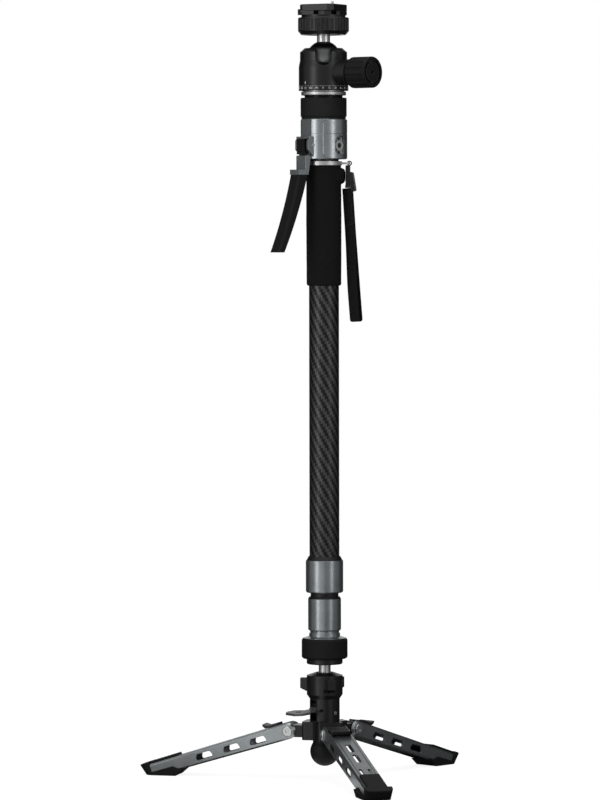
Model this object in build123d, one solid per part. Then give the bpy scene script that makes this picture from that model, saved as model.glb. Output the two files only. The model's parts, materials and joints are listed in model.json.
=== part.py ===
from build123d import *
from math import asin, atan2, cos, degrees, hypot, radians, sin, sqrt, tan
import os

# A collapsible camera monopod with a folding three-legged foot and a ball head.
# Lengths are in millimetres and angles in degrees. Z is up, the pole stands on
# the Z axis, and a radial outline is written as (distance from the axis, height).

# Shared fits
running_gap = 0.05
free_gap = 0.3
face_gap = 0.2
overrun = 1.0

# Azimuths about the pole
front_leg_azimuth = -90.0
right_leg_azimuth = 30.0
left_leg_azimuth = 150.0
pedal_azimuth = 200.5
column_screw_azimuth = -60.5
lever_azimuth = 201.5
strap_azimuth = -22.0
accessory_azimuth = -62.5
cover_azimuth = -48.5
notch_azimuth = -106.5
knob_azimuth = -55.5
plate_azimuth = -44.5
safety_azimuth = 180.5

# Legs
pivot_radius = 35.5
leg_length = 158.6
leg_slope = 16.5
leg_width = 25.2
leg_wall = 2.0
leg_bevel = 1.6
pivot_end_radius = 8.2
toe_cap_length = 10.1
tongue_length = 23.3
tongue_top = 5.2
tongue_bottom = -2.8
wall_step_run = 7.3
web_start = 15.6
side_slot_shares = (0.205, 0.385, 0.5725)
side_slot_length = 19.5
side_slot_height = 6.5
side_slot_slant = 2.6
side_slot_radius = 2.0
web_hole_shares = (0.325, 0.482)
web_hole_length = 19.5
web_hole_width = 5.4
web_slot_share = 0.703
web_slot_length = 21.0
web_slot_width = 3.0
web_slot_offset = 4.4
web_groove_offset = 8.2
web_groove_width = 0.9
web_groove_depth = 0.5
pivot_boss_radius = 6.2
pivot_boss_height = 0.6

# Leg shoes
toe_height = 10.0
toe_top = 7.4
toe_nose_drop = 1.3
toe_nose_reach = 0.2
toe_undercut = 6.2
toe_corner = 6.5
sole_length = 31.5
heel_lead = 2.1
heel_drop = 0.6
shoe_lead = 6.2
shoe_width = 27.8
shoe_top_width = 19.6
shoe_top_height = 2.5
plug_setback = 2.8

# Leg pivot pins
pivot_pin_radius = 2.6
pivot_head_radius = 5.0
pivot_head_height = 1.5
pivot_socket_radius = 2.0
pivot_socket_depth = 1.0

# Leg latches
latch_width = 19.8
latch_start = 8.4
latch_pawl_length = 3.6
latch_pawl_depth = 5.0
latch_plate_end = 22.0
latch_plate_height = 2.2
latch_tip_length = 4.4
latch_tip_rise = 2.8
latch_ribs = 4
latch_rib_depth = 0.9

# Hub
hub_below_pivot = 8.5
hub_height = 18.5
hub_radius = 16.0
lobe_reach = 21.0
lobe_width = 26.0
lobe_fillet = 3.0
arm_width = 20.2
arm_height = 12.0
ratchet_radius = 7.4
ratchet_teeth = 24
ratchet_tooth_depth = 0.8

# Ball foot
foot_ball_radius = 14.7
foot_ball_drop = 20.5
foot_neck_radius = 12.0

# Pedal column
column_radius = 15.0
column_height = 23.0
column_bore_radius = 8.0
pedal_slot_width = 10.0
pedal_slot_margin = 1.2
column_screw_radius = 1.8
column_screw_length = 4.5
column_screw_height = 9.0
column_screw_proud = 0.2

# Pedal
pedal_pin_place = 11.5
pedal_pin_height = 11.6
pedal_pin_radius = 1.5
pedal_eye_radius = 3.2
pedal_thickness = 2.3
pedal_slope = 4.5
pedal_neck_width = 9.0
pedal_neck_end = 22.0
pedal_end = 43.2
pedal_width = 26.0
pedal_corner = 5.5
pedal_hole_radius = 3.0
pedal_hole_place = 33.0
pedal_finger_reach = 7.6

# Brake plunger
plunger_flange_height = 2.2
plunger_stem_radius = 5.0
plunger_ball_gap = 1.8

# Ball housing and cap
housing_height = 22.5
housing_radius = 18.0
housing_foot_radius = 15.3
housing_bevel_height = 4.0
base_ball_radius = 14.0
base_ball_below_rim = 9.5
rest_reach = 24.4
rest_width = 8.0
rest_low = 10.0
rest_high = 20.2
rest_root = 7.0
pocket_width = 12.0
pocket_low = 5.2
pocket_depth = 2.6
cap_height = 3.5
cap_edge_height = 0.7
cap_mouth_radius = 8.95
base_stem_radius = 6.0
stem_show = 8.5
liner_gap = 0.15
liner_wall = 1.2
base_liner_top = 3.8
base_liner_bottom = 11.4
cavity_step = 1.0

# Stem disc, fitting and twist ring
disc_radius = 18.0
disc_height = 5.3
disc_lip_radius = 17.2
disc_lip_height = 0.8
stem_seat = 4.5
twist_ring_radius = 23.0
twist_ring_height = 20.5
twist_ring_fillet = 2.5
twist_ring_bore = 16.0
shoulder_radius = 21.8
shoulder_height = 2.0
fitting_radius = 15.5
fitting_ring_height = 3.0
fitting_neck_radius = 14.5
fitting_neck_height = 2.5
tube_seat_depth = 18.0

# Tubes
upper_tube_radius = 15.0
tube_wall = 1.3
tube_gap = 0.5
lock_head_height = 10.0
lock_spigot_height = 10.0
lock_step = 15.0
collar_lip = 3.0

# Collars
mid_collar_radius = 16.5
mid_collar_height = 32.0
mid_seal_bevel_height = 2.0
mid_seal_bevel_radius = 15.2
mid_seal_neck_radius = 14.0
mid_seal_neck_height = 4.0
upper_collar_radius = 18.75
upper_collar_height = 32.3
collar_edge = 1.2
upper_seal_height = 4.0
upper_seal_low_radius = 18.0
upper_seal_high_radius = 15.9

# Grip and strap ring
shown_tube_height = 270.5
grip_height = 120.0
grip_radius = 17.3
grip_edge = 2.0
swell_radius = 11.0
swell_reach = 21.6
swell_drop = 2.5
swell_height = 16.0
swell_slope = 4.5
strap_ring_radius = 18.25
strap_ring_height = 4.0
ring_to_handle = 2.0
lug_reach = 26.4
lug_width = 7.6
lug_height = 2.0
lug_hole_place = 23.7
lug_hole_radius = 1.35

# Wrist strap
eye_wire_radius = 0.6
eye_radius = 2.0
link_offset = 0.5
link_depth = 4.4
link_width = 6.0
link_height = 22.5
crossbar_height = 2.6
slider_height = 19.5
slider_depth = 4.2
slider_width = 16.6
slider_fillet = 1.6
slider_tilt = 9.0
slider_offset = 4.6
slider_drop = 18.4
webbing_width = 14.6
webbing_ply = 1.3
webbing_sewn_length = 38.0
webbing_length = 133.5
webbing_spread_length = 70.0
webbing_spread = 2.4
webbing_lean = 3.2
webbing_turn = 30.0
webbing_offset = 1.5

# Handle
handle_radius = 23.0
handle_height = 40.0
handle_edge = 0.6
handle_cavity_radius = 10.5
tube_in_handle = 6.0
handle_roof = 3.0
seam_height = 25.0
seam_size = 0.4
panel_flat_place = 21.6
panel_flat_height = 17.5
cover_proud = 0.5
cover_wall = 1.4
cover_span = 120.0
cover_margin = 0.8
cover_corner = 4.5
recess_width = 11.7
recess_low = 3.7
recess_length = 19.9
recess_depth = 1.6
thread_radius = 2.55
thread_depth = 8.0
insert_radius = 5.2
insert_slot_offset = 7.0
insert_slot_width = 2.6
insert_slot_length = 3.6
insert_slot_depth = 2.5
insert_face = 1.2

# Lever
lever_pivot_place = 21.5
lever_pivot_height = 14.0
lever_pin_radius = 1.6
lever_arm_width = 15.0
lever_side_gap = 0.5
lever_pocket_place = 16.6
ear_wall = 2.5
ear_reach = 27.8
ear_low = 1.5
ear_high = 22.5
ear_root = 17.0
ear_round = 4.0
bridge_height = 2.2
bridge_reach = 26.4
finger_tip_place = 6.5
finger_width = 5.6
finger_thickness = 3.2
finger_gap = 0.1
lever_squeeze = 12.0
lever_head_in = 2.2
lever_head_out = 2.0
lever_head_top = 2.4
shoulder_drop = 10.6
shoulder_place = 28.8
waist_drop = 14.0
waist_in_place = 22.6
shelf_drop = 24.4
shelf_bottom_drop = 29.5
shelf_in_place = 25.0
shelf_out_place = 36.8
lever_end_drop = 106.5
lever_end_in_place = 54.2
lever_end_out_place = 62.6
lever_grip_width = 15.4
lever_grip_bow = 2.0
lever_grip_edge = 2.4

# Thumb lock
lock_in_place = 25.1
lock_out_place = 28.3
lock_low = 4.8
lock_width = 12.0
lock_ribs = 5
lock_rib_depth = 0.8
lock_travel = 3.0

# Release rod and spring
rod_radius = 5.0
rod_wall = 1.0
rod_head_radius = 8.6
rod_head_height = 3.0
rod_reach = 404.0
spring_wire_radius = 0.6
spring_turns = 5
spring_radius = 6.4

# Lock ring, seat ring and scale ring
neck_gap_radius = 21.0
neck_gap_height = 0.3
core_radius = 19.0
lock_ring_radius = 23.0
lock_ring_height = 20.9
lock_ring_edge = 0.7
lock_lip_radius = 22.2
lock_lip_height = 1.9
core_show = 2.4
seat_radius = 22.4
seat_height = 3.7
seat_edge = 0.5
seat_neck_radius = 20.5
seat_neck_height = 0.9
stud_hole_radius = 4.8
scale_height = 5.0
pan_spigot_radius = 10.0
pan_spigot_height = 5.0

# Head body
head_radius = 24.75
head_top_radius = 23.5
head_low_height = 18.5
head_taper_height = 6.5
head_straight_height = 8.1
head_shoulder_height = 4.0
head_mouth_rim = 19.0
ball_radius = 17.0
ball_height = 27.7
ball_top_gap = 0.25
head_liner_top = 5.0
head_liner_bottom = 15.5
head_mouth_radius = 14.8
notch_width = 16.4
neck_radius = 6.5
neck_top = 27.0
neck_length_in_base = 4.3
boss_radius = 13.5
boss_reach = 36.0
knob_height = 12.0

# Clamp knob
knob_start = 38.0
knob_end = 63.0
knob_radius = 15.5
knob_core_radius = 12.4
knob_edge = 1.6
knob_ribs = 14
knob_rib_depth = 0.9
knob_rib_radius = 1.3
knob_recess_radius = 11.4
knob_recess_depth = 1.6
knob_cap_radius = 10.2
knob_cap_proud = 1.2
knob_cap_hole = 1.9
knob_cap_hole_depth = 3.0
knob_shaft_radius = 4.0

# Quick-release clamp
ring_radius = 25.4
ring_bottom_radius = 22.3
ring_height = 17.2
ring_bevel_height = 3.6
ring_edge = 0.8
ring_bore = 18.1
ring_flutes = 38
flute_radius = 1.25
flute_margin = 0.8
clamp_face_height = 2.4
clamp_face_radius = 22.0
rail_height = 4.0
rail_inner = 15.0
rail_gap_x = -1.0
rail_gap_y = -1.7

# Camera plate
plate_half = 19.0
plate_corner = 5.0
plate_height = 6.4
plate_foot_half = 13.0
plate_foot_height = 4.2
plate_top_edge = 0.6
plate_rib_width = 1.4
plate_rib_depth = 0.5
plate_rib_count = 6
screw_radius = 3.175
screw_hole_radius = 3.35
screw_head_radius = 7.2
screw_head_height = 2.4
screw_pocket_radius = 7.6
screw_pocket_height = 7.6
screw_sink = 0.4
twist_pin_place = 10.0
twist_pin_radius = 1.35
twist_pin_proud = 3.2
twist_pin_depth = 3.0

# Safety button
safety_reach = 25.8
safety_start = 16.4
safety_width = 7.0
safety_height = 3.6
safety_travel = 0.8
safety_head_height = 5.6
safety_head_depth = 1.2
safety_teeth = 4
safety_tooth_depth = 0.5

# Places along a leg, from its pivot
tongue_end = leg_length - toe_cap_length
tongue_start = tongue_end - tongue_length
wall_step = tongue_start - wall_step_run
heel_start = wall_step - heel_lead
shoe_start = tongue_start - shoe_lead
shoe_plug_start = tongue_start + plug_setback
leg_azimuths = {"front": front_leg_azimuth, "right": right_leg_azimuth, "left": left_leg_azimuth}

# Heights of the base, from the ground up
pivot_z = toe_height + leg_length * sin(radians(leg_slope)) - toe_top * cos(radians(leg_slope))
hub_bottom_z = pivot_z - hub_below_pivot
hub_top_z = hub_bottom_z + hub_height
foot_ball_z = pivot_z - foot_ball_drop
column_top_z = hub_top_z + column_height
housing_top_z = column_top_z + housing_height
cap_top_z = housing_top_z + cap_height
base_ball_z = housing_top_z - base_ball_below_rim
disc_z = cap_top_z + stem_show
disc_top_z = disc_z + disc_height
twist_ring_z = disc_top_z + face_gap
twist_ring_top_z = twist_ring_z + twist_ring_height
fitting_ring_z = twist_ring_top_z + shoulder_height
fitting_top_z = fitting_ring_z + fitting_ring_height + fitting_neck_height

# Heights of the pole
mid_collar_z = fitting_top_z
mid_collar_top_z = mid_collar_z + mid_collar_height
mid_seal_top_z = mid_collar_top_z + mid_seal_bevel_height + mid_seal_neck_height
upper_collar_z = mid_seal_top_z + face_gap
upper_collar_top_z = upper_collar_z + upper_collar_height
upper_seal_top_z = upper_collar_top_z + upper_seal_height
grip_z = upper_seal_top_z + shown_tube_height
grip_top_z = grip_z + grip_height
strap_ring_top_z = grip_top_z + strap_ring_height
handle_z = strap_ring_top_z + ring_to_handle
handle_top_z = handle_z + handle_height
upper_tube_top_z = handle_z + tube_in_handle
mid_tube_top_z = upper_tube_top_z - lock_step
lower_tube_top_z = mid_tube_top_z - lock_head_height - lock_spigot_height - lock_step / 2

# Heights of the head
lock_ring_z = handle_top_z + neck_gap_height
lock_ring_top_z = lock_ring_z + lock_ring_height
seat_z = lock_ring_top_z + core_show
scale_z = seat_z + seat_height + seat_neck_height
head_z = scale_z + scale_height + face_gap
head_shoulder_z = head_z + head_low_height + head_taper_height + head_straight_height
head_top_z = head_shoulder_z + head_shoulder_height
ball_z = head_z + ball_height
knob_z = head_z + knob_height
neck_top_z = ball_z + neck_top
ring_z = ball_z + neck_top - neck_length_in_base
ring_top_z = ring_z + ring_height
clamp_face_z = ring_top_z + clamp_face_height
rail_top_z = clamp_face_z + rail_height
plate_z = clamp_face_z + plate_foot_height
plate_top_z = plate_z + plate_height

# Radii of the nested tubes
upper_tube_bore = upper_tube_radius - tube_wall
mid_tube_radius = upper_tube_bore - tube_gap
mid_tube_bore = mid_tube_radius - tube_wall
lower_tube_radius = mid_tube_bore - tube_gap
lower_tube_bore = lower_tube_radius - tube_wall
rod_bore = rod_radius + free_gap

BOTTOM = (Align.CENTER, Align.CENTER, Align.MIN)
MIDDLE = (Align.CENTER, Align.CENTER, Align.CENTER)


def outline(points):
    """A flat face in the radial plane from (distance, height) points."""
    return Plane.XZ * make_face(Polyline(*points, close=True))


def turned(points):
    """A body of revolution about the pole axis."""
    return revolve(outline(points), Axis.Z)


def tube(outer, inner, low, high):
    return turned([(inner, low), (outer, low), (outer, high), (inner, high)])


def disc(radius, low, high):
    return Pos(0, 0, low) * Cylinder(radius, high - low, align=BOTTOM)


def slab(points, width):
    """A radial outline given a width across it."""
    return extrude(outline(points), width / 2, both=True)


def block(x0, x1, y0, y1, z0, z1):
    """A box between two corners."""
    centre = Pos((x0 + x1) / 2, (y0 + y1) / 2, (z0 + z1) / 2)
    return centre * Box(x1 - x0, y1 - y0, z1 - z0)


def across(radius, length):
    """A cylinder along Y, centred on the origin."""
    return Rot(90, 0, 0) * Cylinder(radius, length)


def along(radius, start, end):
    """A cylinder along X from start to end."""
    return Pos(start, 0, 0) * Rot(0, 90, 0) * Cylinder(radius, end - start, align=BOTTOM)


def about(azimuth, shape):
    return Rot(0, 0, azimuth) * shape


def around(shape, count):
    """Copies of a shape evenly round the pole axis."""
    return [Rot(0, 0, turn * 360 / count) * shape for turn in range(count)]


# Legs

def leg_place(azimuth):
    """The frame of a leg: X runs down the leg from its pivot, Z is square to its top."""
    return Rot(0, 0, azimuth) * Pos(pivot_radius, 0, pivot_z) * Rot(0, leg_slope, 0)


def on_leg(x, z):
    """A point of the leg's own frame as (distance from the pole, height)."""
    run, rise = cos(radians(leg_slope)), sin(radians(leg_slope))
    return pivot_radius + x * run + z * rise, pivot_z - x * rise + z * run


def leg_top_at(x):
    """Height of the channel's top above the leg's centre line."""
    return pivot_end_radius + (tongue_top - pivot_end_radius) * x / tongue_end


def leg_side(drop):
    """The side outline of the channel, with its top lowered by a drop."""
    sides = Polyline(
        (0, pivot_end_radius - drop),
        (tongue_end, tongue_top - drop),
        (tongue_end, tongue_bottom),
        (tongue_start, tongue_bottom),
        (wall_step, -pivot_end_radius),
        (0, -pivot_end_radius),
    )
    end = ThreePointArc((0, -pivot_end_radius), (-pivot_end_radius, 0), (0, pivot_end_radius))
    if drop:
        return Plane.XZ * make_face(sides + Line(sides @ 1, sides @ 0))
    return Plane.XZ * make_face(sides + end)


def leg_channel():
    shell = extrude(leg_side(0), leg_width / 2, both=True)
    top_edges = shell.edges().filter_by(
        lambda e: e.length > tongue_end / 2 and e.center().Z > 0 and abs(e.center().Y) > leg_wall
    )
    shell = chamfer(top_edges, leg_bevel)
    inside = leg_width / 2 - leg_wall
    hollow = [
        (web_start, leg_top_at(web_start) - leg_wall),
        (tongue_end + overrun, leg_top_at(tongue_end + overrun) - leg_wall),
        (tongue_end + overrun, -pivot_end_radius - overrun),
        (web_start, -pivot_end_radius - overrun),
    ]
    shell -= slab(hollow, 2 * inside)
    reach = pivot_end_radius + overrun
    shell -= block(-reach, web_start, -inside, inside, -reach, reach)
    boss = across(pivot_boss_radius, leg_width + 2 * pivot_boss_height)
    shell += boss - across(pivot_boss_radius + overrun, leg_width - 2 * overrun)
    shell -= across(pivot_pin_radius + running_gap, leg_width + 4 * overrun)
    slot = Plane.XZ * fillet(side_slot_outline().vertices(), side_slot_radius)
    slot = extrude(slot, leg_width, both=True)
    for share in side_slot_shares:
        shell -= Pos(share * leg_length, 0, -overrun) * slot
    web_hole = extrude(SlotOverall(web_hole_length, web_hole_width), leg_width)
    for share in web_hole_shares:
        shell -= Pos(share * leg_length, 0, 0) * web_hole
    web_slot = extrude(SlotOverall(web_slot_length, web_slot_width), leg_width)
    slope = degrees(atan2(pivot_end_radius - tongue_top, tongue_end))
    groove_length = wall_step - web_start
    groove = Box(groove_length, web_groove_width, 2 * web_groove_depth)
    groove_x = (web_start + wall_step) / 2
    for side in (-1, 1):
        shell -= Pos(web_slot_share * leg_length, side * web_slot_offset, 0) * web_slot
        place = Pos(groove_x, side * web_groove_offset, leg_top_at(groove_x))
        shell -= place * Rot(0, slope, 0) * groove
    return shell


def side_slot_outline():
    half, tall = side_slot_length / 2, side_slot_height / 2
    points = [
        (-half, -tall),
        (half, -tall),
        (half - side_slot_slant, tall),
        (-half + side_slot_slant, tall),
    ]
    return make_face(Polyline(*points, close=True))


def shoe_outline():
    """The whole side outline of the shoe, its sole on the ground."""
    nose = on_leg(leg_length + toe_nose_reach, toe_top - toe_nose_drop)
    sole_front = nose[0] - toe_undercut
    return [
        on_leg(shoe_start, leg_top_at(shoe_start) + shoe_top_height),
        on_leg(leg_length, toe_top),
        nose,
        (sole_front, 0),
        (sole_front - sole_length, 0),
        on_leg(heel_start, -pivot_end_radius - heel_drop),
    ]


def leg_shoe():
    """The rubber shoe, in the radial plane of its leg."""
    shoe = slab(shoe_outline(), shoe_width)
    nose_x = shoe_outline()[2][0]
    corners = shoe.edges().filter_by(
        lambda e: e.center().X > nose_x - toe_undercut and abs(e.center().Y) > shoe_width / 2 - overrun
        and min(v.X for v in e.vertices()) > nose_x - toe_undercut - overrun / 2
    )
    shoe = fillet(corners.filter_by(lambda e: e.bounding_box().size.Y < overrun), toe_corner)
    frame = Pos(pivot_radius, 0, pivot_z) * Rot(0, leg_slope, 0)
    envelope = frame * extrude(leg_side(0), shoe_width, both=True)
    shoe -= envelope
    half, wide = shoe_top_width / 2, shoe_width / 2 + overrun
    high = leg_top_at(tongue_end)
    roof = high + 2 * leg_wall + overrun
    for side in (-1, 1):
        low, top = sorted((side * half, side * wide))
        shoe -= frame * block(shoe_start - overrun, tongue_end, low, top, high, roof)
    plug = extrude(leg_side(leg_wall + running_gap), leg_width / 2 - leg_wall - running_gap, both=True)
    plug &= block(shoe_plug_start, tongue_end, -leg_width, leg_width, -leg_width, leg_width)
    return shoe + frame * plug


def leg_latch():
    """A sliding pawl with a finger plate that lies on the leg's web."""
    top = leg_top_at(latch_start) + face_gap
    plate_top = top + latch_plate_height
    tip_start = latch_plate_end - latch_tip_length / 2
    tip_end = latch_plate_end + latch_tip_length / 2
    points = [
        (latch_start, top - latch_pawl_depth),
        (latch_start + latch_pawl_length, top - latch_pawl_depth),
        (latch_start + latch_pawl_length, top),
        (latch_plate_end, top),
        (tip_end, top + latch_tip_rise),
        (tip_end, plate_top + latch_tip_rise),
        (tip_start, plate_top),
        (latch_start, plate_top),
    ]
    latch = slab(points, latch_width)
    pitch = (tip_start - latch_start) / (latch_ribs + 1)
    groove = Rot(0, 45, 0) * Box(latch_rib_depth, latch_width + overrun, latch_rib_depth)
    for rib in range(latch_ribs):
        latch -= Pos(latch_start + pitch + pitch * rib, 0, plate_top) * groove
    return latch


def leg_pivot_pins():
    """Three pins, each with a socketed head at both ends."""
    length = leg_width + 2 * pivot_boss_height
    pin = across(pivot_pin_radius, length)
    for side in (-1, 1):
        face = side * (length / 2 + pivot_head_height / 2 + running_gap)
        head = Pos(0, face, 0) * across(pivot_head_radius, pivot_head_height)
        rim = head.edges().filter_by(lambda e: abs(e.center().Y) > abs(face))
        head = chamfer(rim, pivot_head_height / 3)
        shank = Pos(0, face - side * pivot_head_height / 2, 0) * across(pivot_pin_radius, pivot_head_height)
        outer_face = face + side * (pivot_head_height / 2 - pivot_socket_depth / 2)
        hexagon = extrude(RegularPolygon(pivot_socket_radius, 6), pivot_socket_depth / 2, both=True)
        pin += head + shank
        pin -= Pos(0, outer_face, 0) * Rot(90, 0, 0) * hexagon
    return [leg_place(azimuth) * pin for azimuth in leg_azimuths.values()]


# Base

def leg_hub():
    hub = disc(hub_radius, hub_bottom_z, hub_top_z)
    lobe = block(0, lobe_reach, -lobe_width / 2, lobe_width / 2, hub_bottom_z, hub_top_z)
    outer = lobe.edges().filter_by(Axis.Z).filter_by(lambda e: e.center().X > hub_radius)
    lobe = fillet(outer, lobe_fillet)
    low, high = pivot_z - arm_height / 2, pivot_z + arm_height / 2
    arm = block(0, pivot_radius, -arm_width / 2, arm_width / 2, low, high)
    barrel = across(ratchet_radius, arm_width)
    tooth_place = Pos(0, 0, ratchet_radius)
    tooth = Rot(0, 45, 0) * Box(ratchet_tooth_depth, arm_width + overrun, ratchet_tooth_depth)
    teeth = [Rot(0, turn * 360 / ratchet_teeth, 0) * tooth_place * tooth for turn in range(ratchet_teeth)]
    barrel -= teeth
    arm += Pos(pivot_radius, 0, pivot_z) * barrel
    bore = across(pivot_pin_radius + running_gap, arm_width + overrun)
    for azimuth in leg_azimuths.values():
        hub += about(azimuth, lobe + arm)
    for azimuth in leg_azimuths.values():
        hub -= about(azimuth, Pos(pivot_radius, 0, pivot_z) * bore)
    return hub


def ball_foot():
    reach = foot_ball_radius
    ball = Pos(0, 0, foot_ball_z) * Sphere(foot_ball_radius)
    ball &= block(-reach, reach, -reach, reach, foot_ball_z - reach, hub_bottom_z)
    return ball + disc(foot_neck_radius, foot_ball_z, hub_bottom_z)


def pedal_column():
    column = disc(column_radius, hub_top_z, column_top_z)
    column -= disc(column_bore_radius + running_gap, hub_top_z - overrun, column_top_z + overrun)
    half = pedal_slot_width / 2
    low, high = hub_top_z + pedal_slot_margin, column_top_z - pedal_slot_margin
    slot = block(0, column_radius + overrun, -half, half, low, high)
    pin_hole = Pos(pedal_pin_place, 0, hub_top_z + pedal_pin_height)
    pin_hole *= across(pedal_pin_radius + running_gap, 2 * column_radius)
    column -= about(pedal_azimuth, slot + pin_hole)
    hole = along(column_screw_radius + running_gap, column_bore_radius, column_radius + overrun)
    column -= about(column_screw_azimuth, Pos(0, 0, hub_top_z + column_screw_height) * hole)
    return column


def column_set_screw():
    start = column_radius - column_screw_length
    end = column_radius + column_screw_proud
    screw = along(column_screw_radius, start, end)
    hexagon = extrude(RegularPolygon(column_screw_radius / 2, 6), column_screw_length / 2)
    screw -= Pos(end - column_screw_length / 3, 0, 0) * Rot(0, 90, 0) * hexagon
    return about(column_screw_azimuth, Pos(0, 0, hub_top_z + column_screw_height) * screw)


def pedal_pin_point():
    return pedal_pin_place, hub_top_z + pedal_pin_height


def pedal_pin():
    half = sqrt(column_radius**2 - pedal_pin_place**2)
    x, z = pedal_pin_point()
    return about(pedal_azimuth, Pos(x, 0, z) * across(pedal_pin_radius, 2 * half - overrun))


def pedal():
    """The foot plate, with an eye on its pin and a finger under the plunger."""
    x, z = pedal_pin_point()
    half, neck = pedal_width / 2, pedal_neck_width / 2
    plan = [
        (0, -neck),
        (pedal_neck_end - x, -neck),
        (pedal_neck_end - x + pedal_corner, -half),
        (pedal_end - x - pedal_corner, -half),
        (pedal_end - x, -half + pedal_corner),
        (pedal_end - x, half - pedal_corner),
        (pedal_end - x - pedal_corner, half),
        (pedal_neck_end - x + pedal_corner, half),
        (pedal_neck_end - x, neck),
        (0, neck),
    ]
    plate = extrude(make_face(Polyline(*plan, close=True)), pedal_thickness / 2, both=True)
    hole = Pos(pedal_hole_place - x, 0, 0) * Cylinder(pedal_hole_radius, 2 * pedal_thickness)
    plate = Rot(0, pedal_slope, 0) * (plate - hole)
    finger_half = pedal_neck_width / 2
    finger = block(-pedal_finger_reach, 0, -finger_half, finger_half, 0, pedal_eye_radius)
    eye = across(pedal_eye_radius, pedal_neck_width)
    lever = plate + eye + finger - across(pedal_pin_radius + running_gap, pedal_width)
    return about(pedal_azimuth, Pos(x, 0, z) * lever)


def brake_plunger():
    """A flanged plunger that stands on the pedal's finger under the ball."""
    low = pedal_pin_point()[1] + pedal_eye_radius + running_gap
    high = base_ball_z - base_ball_radius - plunger_ball_gap
    flange = disc(column_bore_radius, low, low + plunger_flange_height)
    return flange + disc(plunger_stem_radius, low, high)


def ball_housing():
    low, high = column_top_z, housing_top_z
    bevel = low + housing_bevel_height
    body = turned([
        (0, low),
        (housing_foot_radius, low),
        (housing_radius, bevel),
        (housing_radius, high),
        (0, high),
    ])
    rest_points = [
        (0, low + rest_root),
        (housing_radius, low + rest_root),
        (rest_reach, low + rest_low),
        (rest_reach, low + rest_high),
        (0, low + rest_high),
    ]
    rest = slab(rest_points, rest_width)
    wide, start = pocket_width / 2, housing_radius - pocket_depth
    pocket = block(start, housing_radius + overrun, -wide, wide, low + pocket_low, low + rest_low)
    for azimuth in leg_azimuths.values():
        body -= about(azimuth, pocket)
    for azimuth in leg_azimuths.values():
        body += about(azimuth, rest)
    centre = Pos(0, 0, base_ball_z)
    body -= centre * Sphere(base_ball_radius + liner_gap)
    wide_cavity = Sphere(base_ball_radius + 2 * liner_gap + liner_wall)
    reach = housing_radius
    wide_cavity &= block(-reach, reach, -reach, reach, -2 * reach, -cavity_step)
    body -= centre * wide_cavity
    body -= disc(plunger_stem_radius + free_gap, low - overrun, base_ball_z)
    return body - disc(housing_mouth(), base_ball_z, high + overrun)


def housing_mouth():
    """Radius of the ball's cavity where it meets the housing's rim."""
    return sqrt((base_ball_radius + liner_gap) ** 2 - base_ball_below_rim**2)


def housing_cap():
    low, high = housing_top_z, cap_top_z
    inner = housing_mouth()
    return turned([
        (inner, low),
        (housing_radius, low),
        (housing_radius, low + cap_edge_height),
        (cap_mouth_radius + cap_edge_height, high),
        (cap_mouth_radius, high),
        (cap_mouth_radius, high - cap_edge_height),
    ])


def liner(radius, centre_z, top, bottom):
    """A cup under a ball, between two depths below its centre."""
    shell = Sphere(radius + liner_gap + liner_wall) - Sphere(radius + liner_gap)
    reach = 2 * radius
    shell &= block(-reach, reach, -reach, reach, -bottom, -top)
    return Pos(0, 0, centre_z) * shell


def base_ball():
    ball = Pos(0, 0, base_ball_z) * Sphere(base_ball_radius)
    return ball + disc(base_stem_radius, base_ball_z, disc_z + stem_seat)


# Pole

def stem_disc():
    lip = disc_lip_height
    plate = turned([
        (0, disc_z),
        (disc_radius - lip, disc_z),
        (disc_radius, disc_z + lip),
        (disc_radius, disc_top_z - lip),
        (disc_lip_radius, disc_top_z - lip),
        (disc_lip_radius, disc_top_z),
        (0, disc_top_z),
    ])
    return plate - disc(base_stem_radius + running_gap, disc_z - overrun, disc_z + stem_seat + free_gap)


def foot_fitting():
    low = disc_top_z
    inner = lower_tube_radius + running_gap
    seat = fitting_top_z - tube_seat_depth
    core = twist_ring_bore
    return turned([
        (0, low),
        (core, low),
        (core, twist_ring_top_z),
        (shoulder_radius, twist_ring_top_z + running_gap),
        (fitting_radius + running_gap, fitting_ring_z),
        (fitting_radius, fitting_ring_z + fitting_ring_height),
        (fitting_neck_radius, fitting_ring_z + fitting_ring_height),
        (fitting_neck_radius, fitting_top_z),
        (inner, fitting_top_z),
        (inner, seat),
        (0, seat),
    ])


def base_ring():
    ring = tube(twist_ring_radius, twist_ring_bore + running_gap, twist_ring_z, twist_ring_top_z)
    outer = ring.edges().filter_by(GeomType.CIRCLE).filter_by(lambda e: e.radius > shoulder_radius)
    return fillet(outer, twist_ring_fillet)


def lock_plug(bore, outer_bore, top):
    """The wedge plug that closes a tube's top and slides in the next tube."""
    spigot = bore - running_gap
    head = outer_bore - free_gap
    return turned([
        (rod_bore, top - lock_spigot_height),
        (spigot, top - lock_spigot_height),
        (spigot, top),
        (head, top),
        (head, top + lock_head_height),
        (rod_bore, top + lock_head_height),
    ])


def lower_tube():
    return tube(lower_tube_radius, lower_tube_bore, fitting_top_z - tube_seat_depth, lower_tube_top_z)


def lower_tube_lock():
    return lock_plug(lower_tube_bore, mid_tube_bore, lower_tube_top_z)


def mid_tube():
    return tube(mid_tube_radius, mid_tube_bore, mid_collar_z + collar_lip, mid_tube_top_z)


def mid_tube_lock():
    return lock_plug(mid_tube_bore, upper_tube_bore, mid_tube_top_z)


def collar(radius, bore, seat_bore, low, high):
    """A sleeve with a lip that the next tube in slides through."""
    edge = collar_edge
    return turned([
        (bore, low),
        (radius - edge, low),
        (radius, low + edge),
        (radius, high),
        (seat_bore, high),
        (seat_bore, low + collar_lip),
        (bore, low + collar_lip),
    ])


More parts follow.
